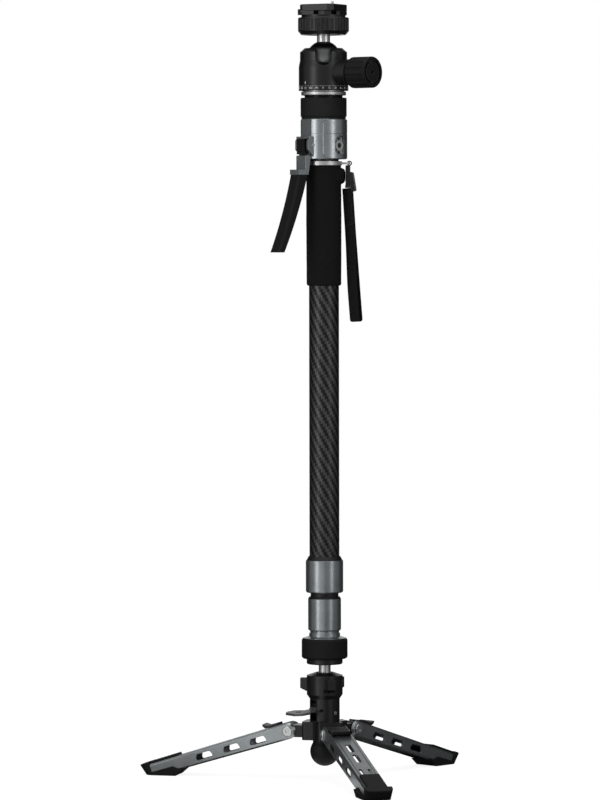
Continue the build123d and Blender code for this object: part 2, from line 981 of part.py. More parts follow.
def mid_collar():
    seat = mid_tube_radius + running_gap
    bore = lower_tube_radius + free_gap
    return collar(mid_collar_radius, bore, seat, mid_collar_z, mid_collar_top_z)


def mid_collar_seal():
    seat = mid_tube_radius + running_gap
    bevel_top = mid_collar_top_z + mid_seal_bevel_height
    return turned([
        (seat, mid_collar_top_z),
        (mid_collar_radius, mid_collar_top_z),
        (mid_seal_bevel_radius, bevel_top),
        (mid_seal_neck_radius, bevel_top),
        (mid_seal_neck_radius, mid_seal_top_z),
        (seat, mid_seal_top_z),
    ])


def upper_tube():
    return tube(upper_tube_radius, upper_tube_bore, upper_collar_z + collar_lip, upper_tube_top_z)


def upper_collar():
    seat = upper_tube_radius + running_gap
    bore = mid_tube_radius + free_gap
    return collar(upper_collar_radius, bore, seat, upper_collar_z, upper_collar_top_z)


def upper_collar_seal():
    seat = upper_tube_radius + running_gap
    return turned([
        (seat, upper_collar_top_z),
        (upper_seal_low_radius, upper_collar_top_z),
        (upper_seal_high_radius, upper_seal_top_z),
        (seat, upper_seal_top_z),
    ])


def foam_grip():
    """A foam sleeve with a swell for the palm under the strap lug."""
    sleeve = disc(grip_radius, grip_z, grip_top_z)
    ends = sleeve.edges().filter_by(GeomType.CIRCLE)
    sleeve = fillet(ends.sort_by(Axis.Z)[0], grip_edge)
    swell_top = grip_top_z - swell_drop
    middle = swell_height - 2 * swell_slope
    tip = swell_radius - swell_slope
    swell = turned([
        (0, 0),
        (tip, 0),
        (swell_radius, swell_slope),
        (swell_radius, swell_slope + middle),
        (tip, swell_height),
        (0, swell_height),
    ])
    place = Pos(swell_reach - swell_radius, 0, swell_top - swell_height)
    sleeve += about(strap_azimuth, place * swell)
    return sleeve - disc(upper_tube_radius + running_gap, grip_z - overrun, grip_top_z + overrun)


def strap_ring():
    ring = disc(strap_ring_radius, grip_top_z, strap_ring_top_z)
    half, middle = lug_width / 2, (grip_top_z + strap_ring_top_z) / 2
    low, high = middle - lug_height / 2, middle + lug_height / 2
    lug = block(0, lug_reach - half, -half, half, low, high)
    lug += Pos(lug_reach - half, 0, 0) * disc(half, low, high)
    hole = Pos(lug_hole_place, 0, 0) * disc(lug_hole_radius, low - overrun, high + overrun)
    ring += about(strap_azimuth, lug - hole)
    return ring - disc(upper_tube_radius + running_gap, grip_top_z - overrun, strap_ring_top_z + overrun)


# Wrist strap

def strap_point():
    """Centre of the wire eye that hangs in the lug, as (distance, height)."""
    return lug_hole_place + eye_radius, (grip_top_z + strap_ring_top_z) / 2


def strap_slider():
    """A wire eye, a link with a crossbar, and the flat slider beside it."""
    x, z = strap_point()
    eye = Pos(x, 0, z) * Rot(90, 0, 0) * Torus(eye_radius, eye_wire_radius)
    high = z - eye_radius
    low = high - link_height
    half_deep, half_wide = link_depth / 2, link_width / 2
    link_x = lug_hole_place + link_offset
    link = block(link_x - half_deep, link_x + half_deep, -half_wide, half_wide, low, high)
    link = fillet(link.edges().filter_by(Axis.Y), eye_wire_radius)
    bar_half = webbing_width / 2
    bar = block(link_x - half_deep, link_x + half_deep, -bar_half, bar_half, low, low + crossbar_height)
    slider = Box(slider_depth, slider_width, slider_height)
    slider = fillet(slider.edges().filter_by(Axis.Y), slider_fillet)
    place = Pos(link_x + slider_offset, 0, z - slider_drop) * Rot(0, -slider_tilt, 0)
    return about(strap_azimuth, eye + link + bar + place * slider)


def strap_webbing():
    """A webbing loop: two plies sewn together at the top and open below."""
    half, ply = webbing_ply + running_gap, webbing_ply
    spread = half + webbing_spread / 2
    wide_z = -webbing_sewn_length - webbing_spread_length
    end_z = -webbing_length + spread
    outer = [
        (half, 0),
        (half, -webbing_sewn_length),
        (spread, wide_z),
        (spread, end_z),
    ]
    side = Polyline(*outer)
    far = Polyline(*[(-x, z) for x, z in reversed(outer)])
    fold = ThreePointArc((spread, end_z), (0, end_z - spread), (-spread, end_z))
    top = Line((-half, 0), (half, 0))
    loop = make_face(side + fold + far + top)
    inner_top = -webbing_sewn_length - ply
    inner = [
        (0, inner_top),
        (spread - ply, wide_z),
        (spread - ply, end_z),
    ]
    hollow = Polyline(*inner)
    hollow_far = Polyline(*[(-x, z) for x, z in reversed(inner)])
    hollow_fold = ThreePointArc((spread - ply, end_z), (0, end_z - spread + ply), (ply - spread, end_z))
    loop -= make_face(hollow + hollow_fold + hollow_far)
    ribbon = extrude(Plane.XZ * loop, webbing_width / 2, both=True)
    x, z = strap_point()
    middle = lug_hole_place + link_offset - webbing_offset
    low = z - eye_radius - link_height - free_gap
    place = Pos(middle, 0, low) * Rot(0, -webbing_lean, 0) * Rot(0, 0, webbing_turn)
    return about(strap_azimuth, place * ribbon)


# Handle

def lever_point():
    return lever_pivot_place, handle_z + lever_pivot_height


def cover_outline_cut(inner, outer, margin):
    """A curved panel standing off the handle, with rounded corners."""
    low, high = handle_z + cover_margin - margin, handle_top_z - cover_margin + margin
    shell = tube(outer, inner, low, high)
    half_span = cover_span / 2
    width = 2 * handle_radius * sin(radians(half_span)) + 2 * margin
    window = RectangleRounded(width, high - low, cover_corner + margin)
    cutter = extrude(Plane.YZ * window, 2 * handle_radius)
    middle = (low + high) / 2
    return about(cover_azimuth, shell_front(shell) & Pos(0, 0, middle) * cutter)


def shell_front(shell):
    reach = 2 * handle_radius
    start = handle_radius * cos(radians(cover_span / 2)) - cover_wall
    return shell & block(start, reach, -reach, reach, handle_z - reach, handle_top_z + reach)


def handle_seam():
    outer, inner = handle_radius + overrun, handle_radius - seam_size
    return tube(outer, inner, handle_z + seam_height, handle_z + seam_height + seam_size)


def handle_shell():
    shell = disc(handle_radius, handle_z, handle_top_z)
    rims = shell.edges().filter_by(GeomType.CIRCLE)
    shell = chamfer(rims, handle_edge)
    flat_z = handle_top_z - panel_flat_height
    reach = 2 * handle_radius
    flat = block(panel_flat_place, reach, -reach, reach, flat_z, handle_top_z + overrun)
    shell -= about(lever_azimuth, flat)
    shell -= handle_seam()
    shell += about(lever_azimuth, lever_bracket())
    shell -= about(lever_azimuth, lever_pocket())
    shell -= disc(upper_tube_radius + running_gap, handle_z - overrun, upper_tube_top_z)
    shell -= disc(handle_cavity_radius, handle_z, handle_top_z - handle_roof)
    shell += disc(neck_gap_radius, handle_top_z, lock_ring_z)
    shell += disc(core_radius, lock_ring_z, seat_z)
    shell -= disc(stud_hole_radius, handle_top_z - handle_roof - overrun, seat_z + overrun)
    shell -= cover_outline_cut(handle_radius - cover_wall, reach, running_gap)
    hole = along(insert_radius + running_gap, handle_cavity_radius + overrun, reach)
    shell -= about(accessory_azimuth, Pos(0, 0, accessory_z()) * (hole + pin_slots()))
    return shell - cover_recess()


def pin_slots():
    """Two slots above and below the accessory thread, for an accessory's locating pins."""
    start = handle_radius - recess_depth - insert_slot_depth
    slot = SlotOverall(insert_slot_length, insert_slot_width)
    slot = Pos(start, 0, 0) * extrude(Plane.YZ * slot, insert_slot_depth + recess_depth + overrun)
    return Pos(0, 0, insert_slot_offset) * slot + Pos(0, 0, -insert_slot_offset) * slot


def lever_bracket():
    """Two ears joined by a bridge over the thumb lock."""
    low, high = handle_z + ear_low, handle_z + ear_high
    points = [
        (ear_root, low),
        (ear_reach - 2 * ear_round, low),
        (ear_reach, low + 2 * ear_round),
        (ear_reach, high - ear_round),
        (ear_reach - ear_round, high),
        (ear_root, high),
    ]
    inner = lever_arm_width + 2 * lever_side_gap
    ears = slab(points, inner + 2 * ear_wall) - slab(points, inner)
    half = inner / 2 + ear_wall
    bridge = block(ear_root, bridge_reach, -half, half, high - bridge_height, high)
    return ears + bridge


def lever_pocket():
    half = lever_arm_width / 2 + lever_side_gap
    high = handle_z + ear_high - bridge_height
    pocket = block(lever_pocket_place, handle_radius + overrun, -half, half, handle_z - overrun, high)
    x, z = lever_point()
    slit_half = finger_width / 2 + lever_side_gap
    high = z + finger_thickness + (x - finger_tip_place) * sin(radians(lever_squeeze)) + overrun
    slit = block(0, lever_pocket_place + overrun, -slit_half, slit_half, z - overrun, high)
    pin =Pos(x, 0, z) * across(lever_pin_radius + running_gap, 2 * half + 2 * ear_wall + overrun)
    return pocket + slit + pin


def accessory_z():
    return handle_z + recess_low + recess_length / 2 - face_gap


def cover_recess():
    """The sunk obround round the accessory thread, in the cover's own azimuth."""
    face = SlotOverall(recess_length, recess_width, rotation=90)
    start = handle_radius - recess_depth
    cut = Pos(start, 0, accessory_z()) * extrude(Plane.YZ * face, recess_depth + overrun)
    return about(accessory_azimuth, cut)


def handle_cover():
    cover = cover_outline_cut(handle_radius - cover_wall + running_gap, handle_radius + cover_proud, 0)
    cover -= handle_seam()
    cover -= cover_recess()
    hole = along(insert_radius + running_gap, 0, 2 * handle_radius)
    return cover - about(accessory_azimuth, Pos(0, 0, accessory_z()) * hole)


def accessory_insert():
    """A threaded bush, seen as its plain bore."""
    end = handle_radius - recess_depth + insert_face
    start = handle_cavity_radius + 2 * overrun
    bush = along(insert_radius, start, end)
    bush -= along(thread_radius, end - thread_depth, end + overrun)
    return about(accessory_azimuth, Pos(0, 0, accessory_z()) * bush)


def lever_pin():
    x, z = lever_point()
    length = lever_arm_width + 2 * lever_side_gap + 2 * ear_wall
    return about(lever_azimuth, Pos(x, 0, z) * across(lever_pin_radius, length))


def lever_arm():
    """The metal lever, with a finger that reaches under the release rod's head."""
    x, z = lever_point()
    points = [
        (x - lever_head_in, z + lever_head_top),
        (x + lever_head_out, z + lever_head_top),
        (x + lever_head_in + running_gap, z - shoulder_drop + overrun),
        (shoulder_place, z - shoulder_drop),
        (shoulder_place, z - shelf_drop),
        (shelf_out_place, z - shelf_drop),
        (shelf_out_place, z - shelf_bottom_drop),
        (shelf_in_place, z - shelf_bottom_drop),
        (waist_in_place, z - waist_drop),
        (x - lever_head_in, z - lever_pin_radius),
    ]
    arm = slab(points, lever_arm_width)
    half = finger_width / 2
    finger = block(finger_tip_place, x, -half, half, z, z + finger_thickness)
    head = Pos(x, 0, z) * across(lever_head_top, lever_arm_width)
    hole = Pos(x, 0, z) * across(lever_pin_radius + running_gap, lever_arm_width + overrun)
    return about(lever_azimuth, arm + finger + head - hole)


def lever_grip():
    """The rubber grip, bowed a little away from the pole."""
    z = lever_point()[1]
    top, end = z - shelf_bottom_drop, z - lever_end_drop
    middle = (top + end) / 2
    in_bow = (shelf_in_place + lever_end_in_place) / 2 - lever_grip_bow
    out_bow = (shelf_out_place + lever_end_out_place) / 2 - lever_grip_bow
    edge = ThreePointArc((shelf_out_place, top), (out_bow, middle), (lever_end_out_place, end))
    back = ThreePointArc((lever_end_in_place, end), (in_bow, middle), (shelf_in_place, top))
    sides = Line(edge @ 1, back @ 0) + Line(back @ 1, edge @ 0)
    grip = extrude(Plane.XZ * make_face(edge + back + sides), lever_grip_width / 2, both=True)
    long_edges = grip.edges().filter_by(GeomType.CIRCLE)
    return about(lever_azimuth, fillet(long_edges, lever_grip_edge))


def thumb_lock():
    """A ribbed cross slide in front of the lever's head."""
    low, high = handle_z + lock_low, handle_z + ear_high - bridge_height - face_gap
    half = lock_width / 2
    lock = block(lock_in_place, lock_out_place, -half, half, low, high)
    pitch = (high - low) / (lock_ribs + 1)
    groove = Rot(0, 45, 0) * Box(lock_rib_depth, lock_width + overrun, lock_rib_depth)
    for rib in range(lock_ribs):
        lock -= Pos(lock_out_place, 0, low + pitch + pitch * rib) * groove
    return about(lever_azimuth, Pos(0, -lock_travel / 2, 0) * lock)


def rod_head_z():
    return lever_point()[1] + finger_thickness + finger_gap


def release_rod():
    low = rod_head_z()
    stub = low + 2 * rod_head_height
    rod = disc(rod_radius, low - rod_reach, stub) + disc(rod_head_radius, low, low + rod_head_height)
    return rod - disc(rod_radius - rod_wall, low - rod_reach - overrun, stub - rod_wall)


def rod_spring():
    """A wire spring between the rod's head and the handle's roof."""
    low = rod_head_z() + rod_head_height + spring_wire_radius
    high = handle_top_z - handle_roof - spring_wire_radius
    path = Pos(0, 0, low) * Helix((high - low) / spring_turns, high - low, spring_radius)
    start = path @ 0
    section = Plane(start, z_dir=path % 0) * Circle(spring_wire_radius)
    return sweep(section, path, is_frenet=True)


# Head

def head_lock_ring():
    """A turning ring with a narrower lip at its foot."""
    inner, edge = core_radius + running_gap, lock_ring_edge
    lip_top = lock_ring_z + lock_lip_height
    return turned([
        (inner, lock_ring_z),
        (lock_lip_radius, lock_ring_z),
        (lock_lip_radius, lip_top),
        (lock_ring_radius - edge, lip_top),
        (lock_ring_radius, lip_top + edge),
        (lock_ring_radius, lock_ring_top_z - edge),
        (lock_ring_radius - edge, lock_ring_top_z),
        (inner, lock_ring_top_z),
    ])


def head_seat_ring():
    edge = seat_edge
    return turned([
        (stud_hole_radius, seat_z),
        (seat_radius - edge, seat_z),
        (seat_radius, seat_z + edge),
        (seat_radius, seat_z + seat_height - edge),
        (seat_radius - edge, seat_z + seat_height),
        (seat_neck_radius, seat_z + seat_height),
        (seat_neck_radius, scale_z),
        (stud_hole_radius, scale_z),
    ])


def scale_ring():
    ring = tube(head_radius, stud_hole_radius, scale_z, scale_z + scale_height)
    top = head_z + pan_spigot_height
    return ring + tube(pan_spigot_radius, stud_hole_radius, scale_z, top)


def head_body():
    straight = head_z + head_low_height
    body = turned([
        (0, head_z),
        (head_radius, head_z),
        (head_radius, straight),
        (head_top_radius, straight + head_taper_height),
        (head_top_radius, head_shoulder_z),
        (head_mouth_rim, head_top_z),
        (0, head_top_z),
    ])
    boss = Pos(0, 0, knob_z) * along(boss_radius, 0, boss_reach)
    reach = 2 * boss_reach
    boss &= block(0, reach, -reach, reach, head_z, head_top_z)
    body += about(knob_azimuth, boss)
    centre = Pos(0, 0, ball_z)
    body -= centre * Sphere(ball_radius + ball_top_gap)
    wide = Sphere(ball_radius + 2 * liner_gap + liner_wall)
    wide &= block(-reach, reach, -reach, reach, -reach, -cavity_step)
    body -= centre * wide
    body -= disc(head_mouth_radius, ball_z, head_top_z + overrun)
    half = notch_width / 2
    notch = block(0, reach, -half, half, 0, head_top_z - ball_z + overrun) + along(half, 0, reach)
    body -= about(notch_azimuth, centre * notch)
    shaft = along(knob_shaft_radius + running_gap, knob_shaft_end() - free_gap, reach)
    body -= on_knob(shaft)
    pan_top = head_z + pan_spigot_height + free_gap
    return body - disc(pan_spigot_radius + running_gap, head_z - overrun, pan_top)


def knob_shaft_end():
    """How far from the pole axis the knob's shaft stops, just short of the ball's cup."""
    cup = ball_radius + liner_gap + liner_wall
    depth = ball_height - knob_height - knob_shaft_radius
    return sqrt(cup**2 - depth**2) + free_gap


def head_ball():
    ball = Pos(0, 0, ball_z) * Sphere(ball_radius)
    return ball + disc(neck_radius, ball_z, neck_top_z)


def on_knob(shape):
    return about(knob_azimuth, Pos(0, 0, knob_z) * shape)


def knob_core():
    end = knob_end - knob_edge
    floor, face = end - knob_recess_depth, end + knob_cap_proud
    core = along(knob_core_radius, knob_start, end) - along(knob_recess_radius, floor, end + overrun)
    core += along(knob_shaft_radius, knob_shaft_end(), knob_start)
    core += along(knob_cap_radius, floor, face)
    return on_knob(core - along(knob_cap_hole, face - knob_cap_hole_depth, face + overrun))


def knob_rubber():
    sleeve = along(knob_radius, knob_start, knob_end)
    rims = sleeve.edges().filter_by(GeomType.CIRCLE)
    sleeve = fillet(rims, knob_edge)
    groove = Pos(0, 0, knob_radius + knob_rib_radius - knob_rib_depth)
    groove *= along(knob_rib_radius, knob_start - overrun, knob_end - 2 * knob_edge)
    sleeve -= [Rot(turn * 360 / knob_ribs, 0, 0) * groove for turn in range(knob_ribs)]
    return on_knob(sleeve - along(knob_core_radius + running_gap, knob_start - overrun, knob_end + overrun))


# Clamp

def clamp_square(half, corner, low, high):
    """A square slab with cut corners, on the plate's own axes."""
    inner = half - corner
    points = [
        (inner, -half), (half, -inner), (half, inner), (inner, half),
        (-inner, half), (-half, inner), (-half, -inner), (-inner, -half),
    ]
    return Pos(0, 0, low) * extrude(make_face(Polyline(*points, close=True)), high - low)


def qr_base():
    core = disc(ring_bore - 2 * running_gap, ring_z + ring_edge, ring_top_z)
    core -= disc(neck_radius + running_gap, ring_z, neck_top_z + running_gap)
    core += disc(clamp_face_radius, ring_top_z, clamp_face_z)
    rails = clamp_square(plate_half, plate_corner, clamp_face_z, rail_top_z)
    rails -= clamp_square(rail_inner, plate_corner, clamp_face_z, rail_top_z)
    reach = 2 * plate_half
    rails -= block(rail_gap_x, reach, -reach, rail_gap_y, clamp_face_z, rail_top_z)
    half = safety_width / 2 + running_gap
    slot = block(safety_start - safety_travel, reach, -half, half, clamp_face_z, rail_top_z)
    return core + about(plate_azimuth, rails) - about(safety_azimuth, slot)


def qr_lock_ring():
    bevel = ring_z + ring_bevel_height
    ring = turned([
        (ring_bore, ring_z),
        (ring_bottom_radius, ring_z),
        (ring_radius, bevel),
        (ring_radius, ring_top_z - ring_edge),
        (ring_radius - ring_edge, ring_top_z),
        (ring_bore, ring_top_z),
    ])
    low, high = bevel + flute_margin, ring_top_z - ring_edge - flute_margin
    flute = Pos(ring_radius + flute_radius / 3, 0, 0) * disc(flute_radius, low, high)
    return ring - around(flute, ring_flutes)


def safety_button():
    """A button in a slot of the rail, with a ribbed head outside the plate."""
    half, low = safety_width / 2, clamp_face_z
    head_start, head_top = safety_reach - safety_head_depth, low + safety_head_height
    button = block(safety_start, safety_reach, -half, half, low, low + safety_height)
    button += block(head_start, safety_reach, -half, half, low, head_top)
    pitch = safety_head_height / (safety_teeth + 1)
    groove = Rot(0, 45, 0) * Box(safety_tooth_depth, safety_width + overrun, safety_tooth_depth)
    for tooth in range(safety_teeth):
        button -= Pos(safety_reach, 0, low + pitch + pitch * tooth) * groove
    return about(safety_azimuth, button)


def camera_plate():
    plate = clamp_square(plate_half, plate_corner, plate_z, plate_top_z)
    top = plate.edges().group_by(Axis.Z)[-1]
    plate = chamfer(top, plate_top_edge)
    pitch = 2 * plate_half / (plate_rib_count + 1)
    for rib in range(plate_rib_count):
        x = pitch + pitch * rib - plate_half
        groove = block(
            x - plate_rib_width / 2, x + plate_rib_width / 2,
            -plate_foot_half, plate_foot_half, plate_top_z - plate_rib_depth, plate_top_z + overrun,
        )
        plate -= groove
    plate += clamp_square(plate_foot_half, plate_corner, clamp_face_z, plate_z)
    plate -= disc(screw_hole_radius, clamp_face_z, plate_top_z + overrun)
    plate -= disc(screw_pocket_radius, clamp_face_z - overrun, clamp_face_z + screw_pocket_height)
    pin_low = plate_top_z - twist_pin_depth
    plate -= Pos(twist_pin_place, 0, 0) * disc(twist_pin_radius + running_gap, pin_low, plate_top_z + overrun)
    return about(plate_azimuth, plate)


def anti_twist_pin():
    low = plate_top_z - twist_pin_depth + running_gap
    high = plate_top_z + twist_pin_proud
    pin = disc(twist_pin_radius, low, high)
    pin = chamfer(pin.edges().filter_by(GeomType.CIRCLE).sort_by(Axis.Z)[-1], twist_pin_radius / 3)
    return about(plate_azimuth, Pos(twist_pin_place, 0, 0) * pin)


def camera_screw():
    """The captive camera screw, dropped below the plate's face."""
    low = clamp_face_z + free_gap
    top = plate_top_z - screw_sink
    return disc(screw_head_radius, low, low + screw_head_height) + disc(screw_radius, low, top)


def solids():
    """Every node with its solid or solids, in the pole's own frame."""
    nodes = {
        "ball_foot": ball_foot(),
        "leg_hub": leg_hub(),
        "leg_pivot_pins": leg_pivot_pins(),
        "pedal_column": pedal_column(),
        "column_set_screw": column_set_screw(),
        "pedal_pin": pedal_pin(),
        "pedal": pedal(),
        "brake_plunger": brake_plunger(),
        "ball_housing": ball_housing(),
        "housing_cap": housing_cap(),
        "base_ball_cup": liner(base_ball_radius, base_ball_z, base_liner_top, base_liner_bottom),
        "base_ball": base_ball(),
        "stem_disc": stem_disc(),
        "foot_fitting": foot_fitting(),
        "base_ring": base_ring(),
        "lower_tube": lower_tube(),
        "lower_tube_lock": lower_tube_lock(),
        "mid_tube": mid_tube(),
        "mid_collar": mid_collar(),
        "mid_collar_seal": mid_collar_seal(),
        "mid_tube_lock": mid_tube_lock(),
        "upper_tube": upper_tube(),
        "upper_collar": upper_collar(),
        "upper_collar_seal": upper_collar_seal(),
        "foam_grip": foam_grip(),
        "strap_ring": strap_ring(),
        "strap_slider": strap_slider(),
        "strap_webbing": strap_webbing(),
        "handle_shell": handle_shell(),
        "handle_cover": handle_cover(),
        "accessory_insert": accessory_insert(),
        "lever_pin": lever_pin(),
        "lever_arm": lever_arm(),
        "lever_grip": lever_grip(),
        "thumb_lock": thumb_lock(),
        "release_rod": release_rod(),
        "rod_spring": rod_spring(),
        "head_lock_ring": head_lock_ring(),
        "head_seat_ring": head_seat_ring(),
        "scale_ring": scale_ring(),
        "head_body": head_body(),
        "head_ball_cup": liner(ball_radius, ball_z, head_liner_top, head_liner_bottom),
        "head_ball": head_ball(),
        "knob_core": knob_core(),
        "knob_rubber": knob_rubber(),
        "qr_base": qr_base(),
        "qr_lock_ring": qr_lock_ring(),
        "safety_button": safety_button(),
        "camera_plate": camera_plate(),
        "anti_twist_pin": anti_twist_pin(),
        "camera_screw": camera_screw(),
    }
    channel, shoe, latch = leg_channel(), leg_shoe(), leg_latch()
    for name, azimuth in leg_azimuths.items():
        nodes[f"leg_channel_{name}"] = leg_place(azimuth) * channel
        nodes[f"leg_shoe_{name}"] = about(azimuth, shoe)
        nodes[f"leg_latch_{name}"] = leg_place(azimuth) * latch
    return nodes


def footprint_centre(nodes):
    """The middle of the ground rectangle that the shoes and legs fill."""
    boxes = [nodes[f"leg_shoe_{name}"].bounding_box() for name in leg_azimuths]
    low_x, high_x = min(b.min.X for b in boxes), max(b.max.X for b in boxes)
    low_y, high_y = min(b.min.Y for b in boxes), max(b.max.Y for b in boxes)
    return (low_x + high_x) / 2, (low_y + high_y) / 2


def main():
    os.makedirs("parts", exist_ok=True)
    nodes = solids()
    x, y = footprint_centre(nodes)
    print(f"pole axis at {-x:.4f}, {-y:.4f}")
    for name, shape in nodes.items():
        pieces = shape if isinstance(shape, list) else shape.solids()
        pieces = [Pos(-x, -y, 0) * piece for piece in pieces]
        whole = pieces[0] if len(pieces) == 1 else Compound(children=pieces)
        export_step(whole, f"parts/{name}.step")


main()
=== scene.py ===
"""Camera monopod: the looks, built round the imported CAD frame. Metres, +Z up."""
import json
from math import atan, cos, hypot, pi, radians, sin, sqrt

import bpy
from mathutils import Matrix, Quaternion, Vector, noise


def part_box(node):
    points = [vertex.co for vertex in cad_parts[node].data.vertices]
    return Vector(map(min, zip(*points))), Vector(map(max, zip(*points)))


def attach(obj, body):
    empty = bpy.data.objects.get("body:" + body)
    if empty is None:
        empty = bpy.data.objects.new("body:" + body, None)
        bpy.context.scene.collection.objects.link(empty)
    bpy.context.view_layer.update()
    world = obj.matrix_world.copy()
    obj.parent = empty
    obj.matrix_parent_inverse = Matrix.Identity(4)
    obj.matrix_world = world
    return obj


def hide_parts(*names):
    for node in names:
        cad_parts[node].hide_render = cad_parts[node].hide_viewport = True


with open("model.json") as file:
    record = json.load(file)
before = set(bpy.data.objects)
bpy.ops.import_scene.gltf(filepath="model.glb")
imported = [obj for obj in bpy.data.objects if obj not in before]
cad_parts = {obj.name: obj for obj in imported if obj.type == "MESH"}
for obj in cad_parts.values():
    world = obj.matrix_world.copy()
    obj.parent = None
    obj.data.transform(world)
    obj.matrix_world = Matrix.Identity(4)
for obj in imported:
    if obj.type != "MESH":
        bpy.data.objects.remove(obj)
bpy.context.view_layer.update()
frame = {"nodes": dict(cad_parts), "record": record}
nodes = frame["nodes"]
mm = 0.001

tube_low, tube_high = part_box("upper_tube")
pole = (tube_low + tube_high) / 2
pole_x, pole_y = pole.x, pole.y

# Azimuths about the pole and the legs' slope at rest, in degrees
camera_azimuth = -106.5
strap_azimuth = -22.0
leg_azimuths = {"front": -90.0, "right": 30.0, "left": 150.0}
leg_slope = 16.5


def round_pole(azimuth, distance, z=0.0):
    """A point at an azimuth and a distance from the pole axis, in metres."""
    angle = radians(azimuth)
    return Vector((pole_x + distance * cos(angle), pole_y + distance * sin(angle), z))


# Camera, at the photograph's viewing angle
focal_pixels = 4505.7
image_height = 800
sensor_width = 36.0
camera_distance = 4.5
camera_height = 0.553
camera_pitch = radians(2.204)
camera_roll = radians(-0.12)
pole_offset_pixels = 24.2


def make_camera():
    """A camera that looks past the pole axis by a few pixels, as the photograph does."""
    data = bpy.data.cameras.new("camera")
    data.sensor_width = sensor_width
    data.lens = focal_pixels * sensor_width / image_height
    data.clip_start, data.clip_end = 0.1, 200.0
    made = bpy.data.objects.new("camera", data)
    bpy.context.scene.collection.objects.link(made)
    made.location = round_pole(camera_azimuth, camera_distance, camera_height)
    to_pole = round_pole(camera_azimuth, 0.0) - round_pole(camera_azimuth, 1.0)
    turn = atan(pole_offset_pixels / focal_pixels)
    aim = Matrix.Rotation(turn, 3, "Z") @ to_pole
    aim = Vector((aim.x * cos(camera_pitch), aim.y * cos(camera_pitch), -sin(camera_pitch)))
    made.rotation_mode = "QUATERNION"
    made.rotation_quaternion = aim.to_track_quat("-Z", "Y") @ Quaternion((0, 0, 1), camera_roll)
    bpy.context.scene.camera = made


make_camera()

# Light and floor. Lamps and cards stand at azimuths counted from the camera's.
lamp_aim_height = 0.4
ambient_strength = 0.5
floor_half = 40.0
floor_drop = 0.05 * mm
floor_albedo = 0.9
floor_glow, floor_glow_share = 1.24, 0.7


def area_lamp(name, azimuth, distance, height, width, tall, level):
    """A soft box round the pole, level being its radiance."""
    data = bpy.data.lights.new(name, "AREA")
    data.shape = "RECTANGLE"
    data.size, data.size_y = width, tall
    data.energy = level * pi * width * tall
    made = bpy.data.objects.new(name, data)
    bpy.context.scene.collection.objects.link(made)
    made.location = round_pole(camera_azimuth + azimuth, distance, height)
    aim = Vector((pole_x, pole_y, lamp_aim_height)) - made.location
    made.rotation_mode = "QUATERNION"
    made.rotation_quaternion = aim.to_track_quat("-Z", "Y")


def add(tree, kind, inputs=(), output=0, **settings):
    """Adds a node, sets or links its inputs, and returns one of its outputs."""
    made = tree.nodes.new(kind)
    for key, value in settings.items():
        setattr(made, key, value)
    for key, value in dict(inputs).items():
        if isinstance(value, bpy.types.NodeSocket):
            tree.links.new(value, made.inputs[key])
        else:
            made.inputs[key].default_value = value
    return made.outputs[output] if made.outputs else made


def calc(tree, operation, *values):
    """One sum of values or sockets."""
    return add(tree, "ShaderNodeMath", dict(enumerate(values)), operation=operation)


def seen_directly(tree):
    """1 for camera, glossy and transmission rays, and 0 for the rest."""
    path = tree.nodes.new("ShaderNodeLightPath")
    seen = calc(tree, "MAXIMUM", path.outputs["Is Camera Ray"], path.outputs["Is Glossy Ray"])
    return calc(tree, "MAXIMUM", seen, path.outputs["Is Transmission Ray"])


def make_world():
    """A white surround that lights the object at half its strength."""
    world = bpy.data.worlds.new("studio")
    world.use_nodes = True
    tree = world.node_tree
    tree.nodes.clear()
    levels = {"Value": seen_directly(tree), "To Min": ambient_strength, "To Max": 1.0}
    strength = add(tree, "ShaderNodeMapRange", levels)
    light = add(tree, "ShaderNodeBackground", {"Color": (1, 1, 1, 1), "Strength": strength})
    add(tree, "ShaderNodeOutputWorld", {"Surface": light})
    bpy.context.scene.world = world


def make_floor():
    """A white floor, part glow and part matt, so that it keeps the object's shadow."""
    half = floor_half
    data = bpy.data.meshes.new("floor")
    corners = [(-half, -half, 0), (half, -half, 0), (half, half, 0), (-half, half, 0)]
    data.from_pydata(corners, [], [(0, 1, 2, 3)])
    floor = bpy.data.objects.new("floor", data)
    floor.location.z = -floor_drop
    bpy.context.scene.collection.objects.link(floor)
    made = bpy.data.materials.new("floor")
    made.use_nodes = True
    tree = made.node_tree
    tree.nodes.clear()
    albedo = (floor_albedo, floor_albedo, floor_albedo, 1)
    matt = add(tree, "ShaderNodeBsdfDiffuse", {"Color": albedo})
    glow = add(tree, "ShaderNodeEmission", {"Color": (1, 1, 1, 1), "Strength": floor_glow})
    share = calc(tree, "MULTIPLY", seen_directly(tree), floor_glow_share)
    mixed = add(tree, "ShaderNodeMixShader", {0: share, 1: matt, 2: glow})
    add(tree, "ShaderNodeOutputMaterial", {"Surface": mixed})
    data.materials.append(made)


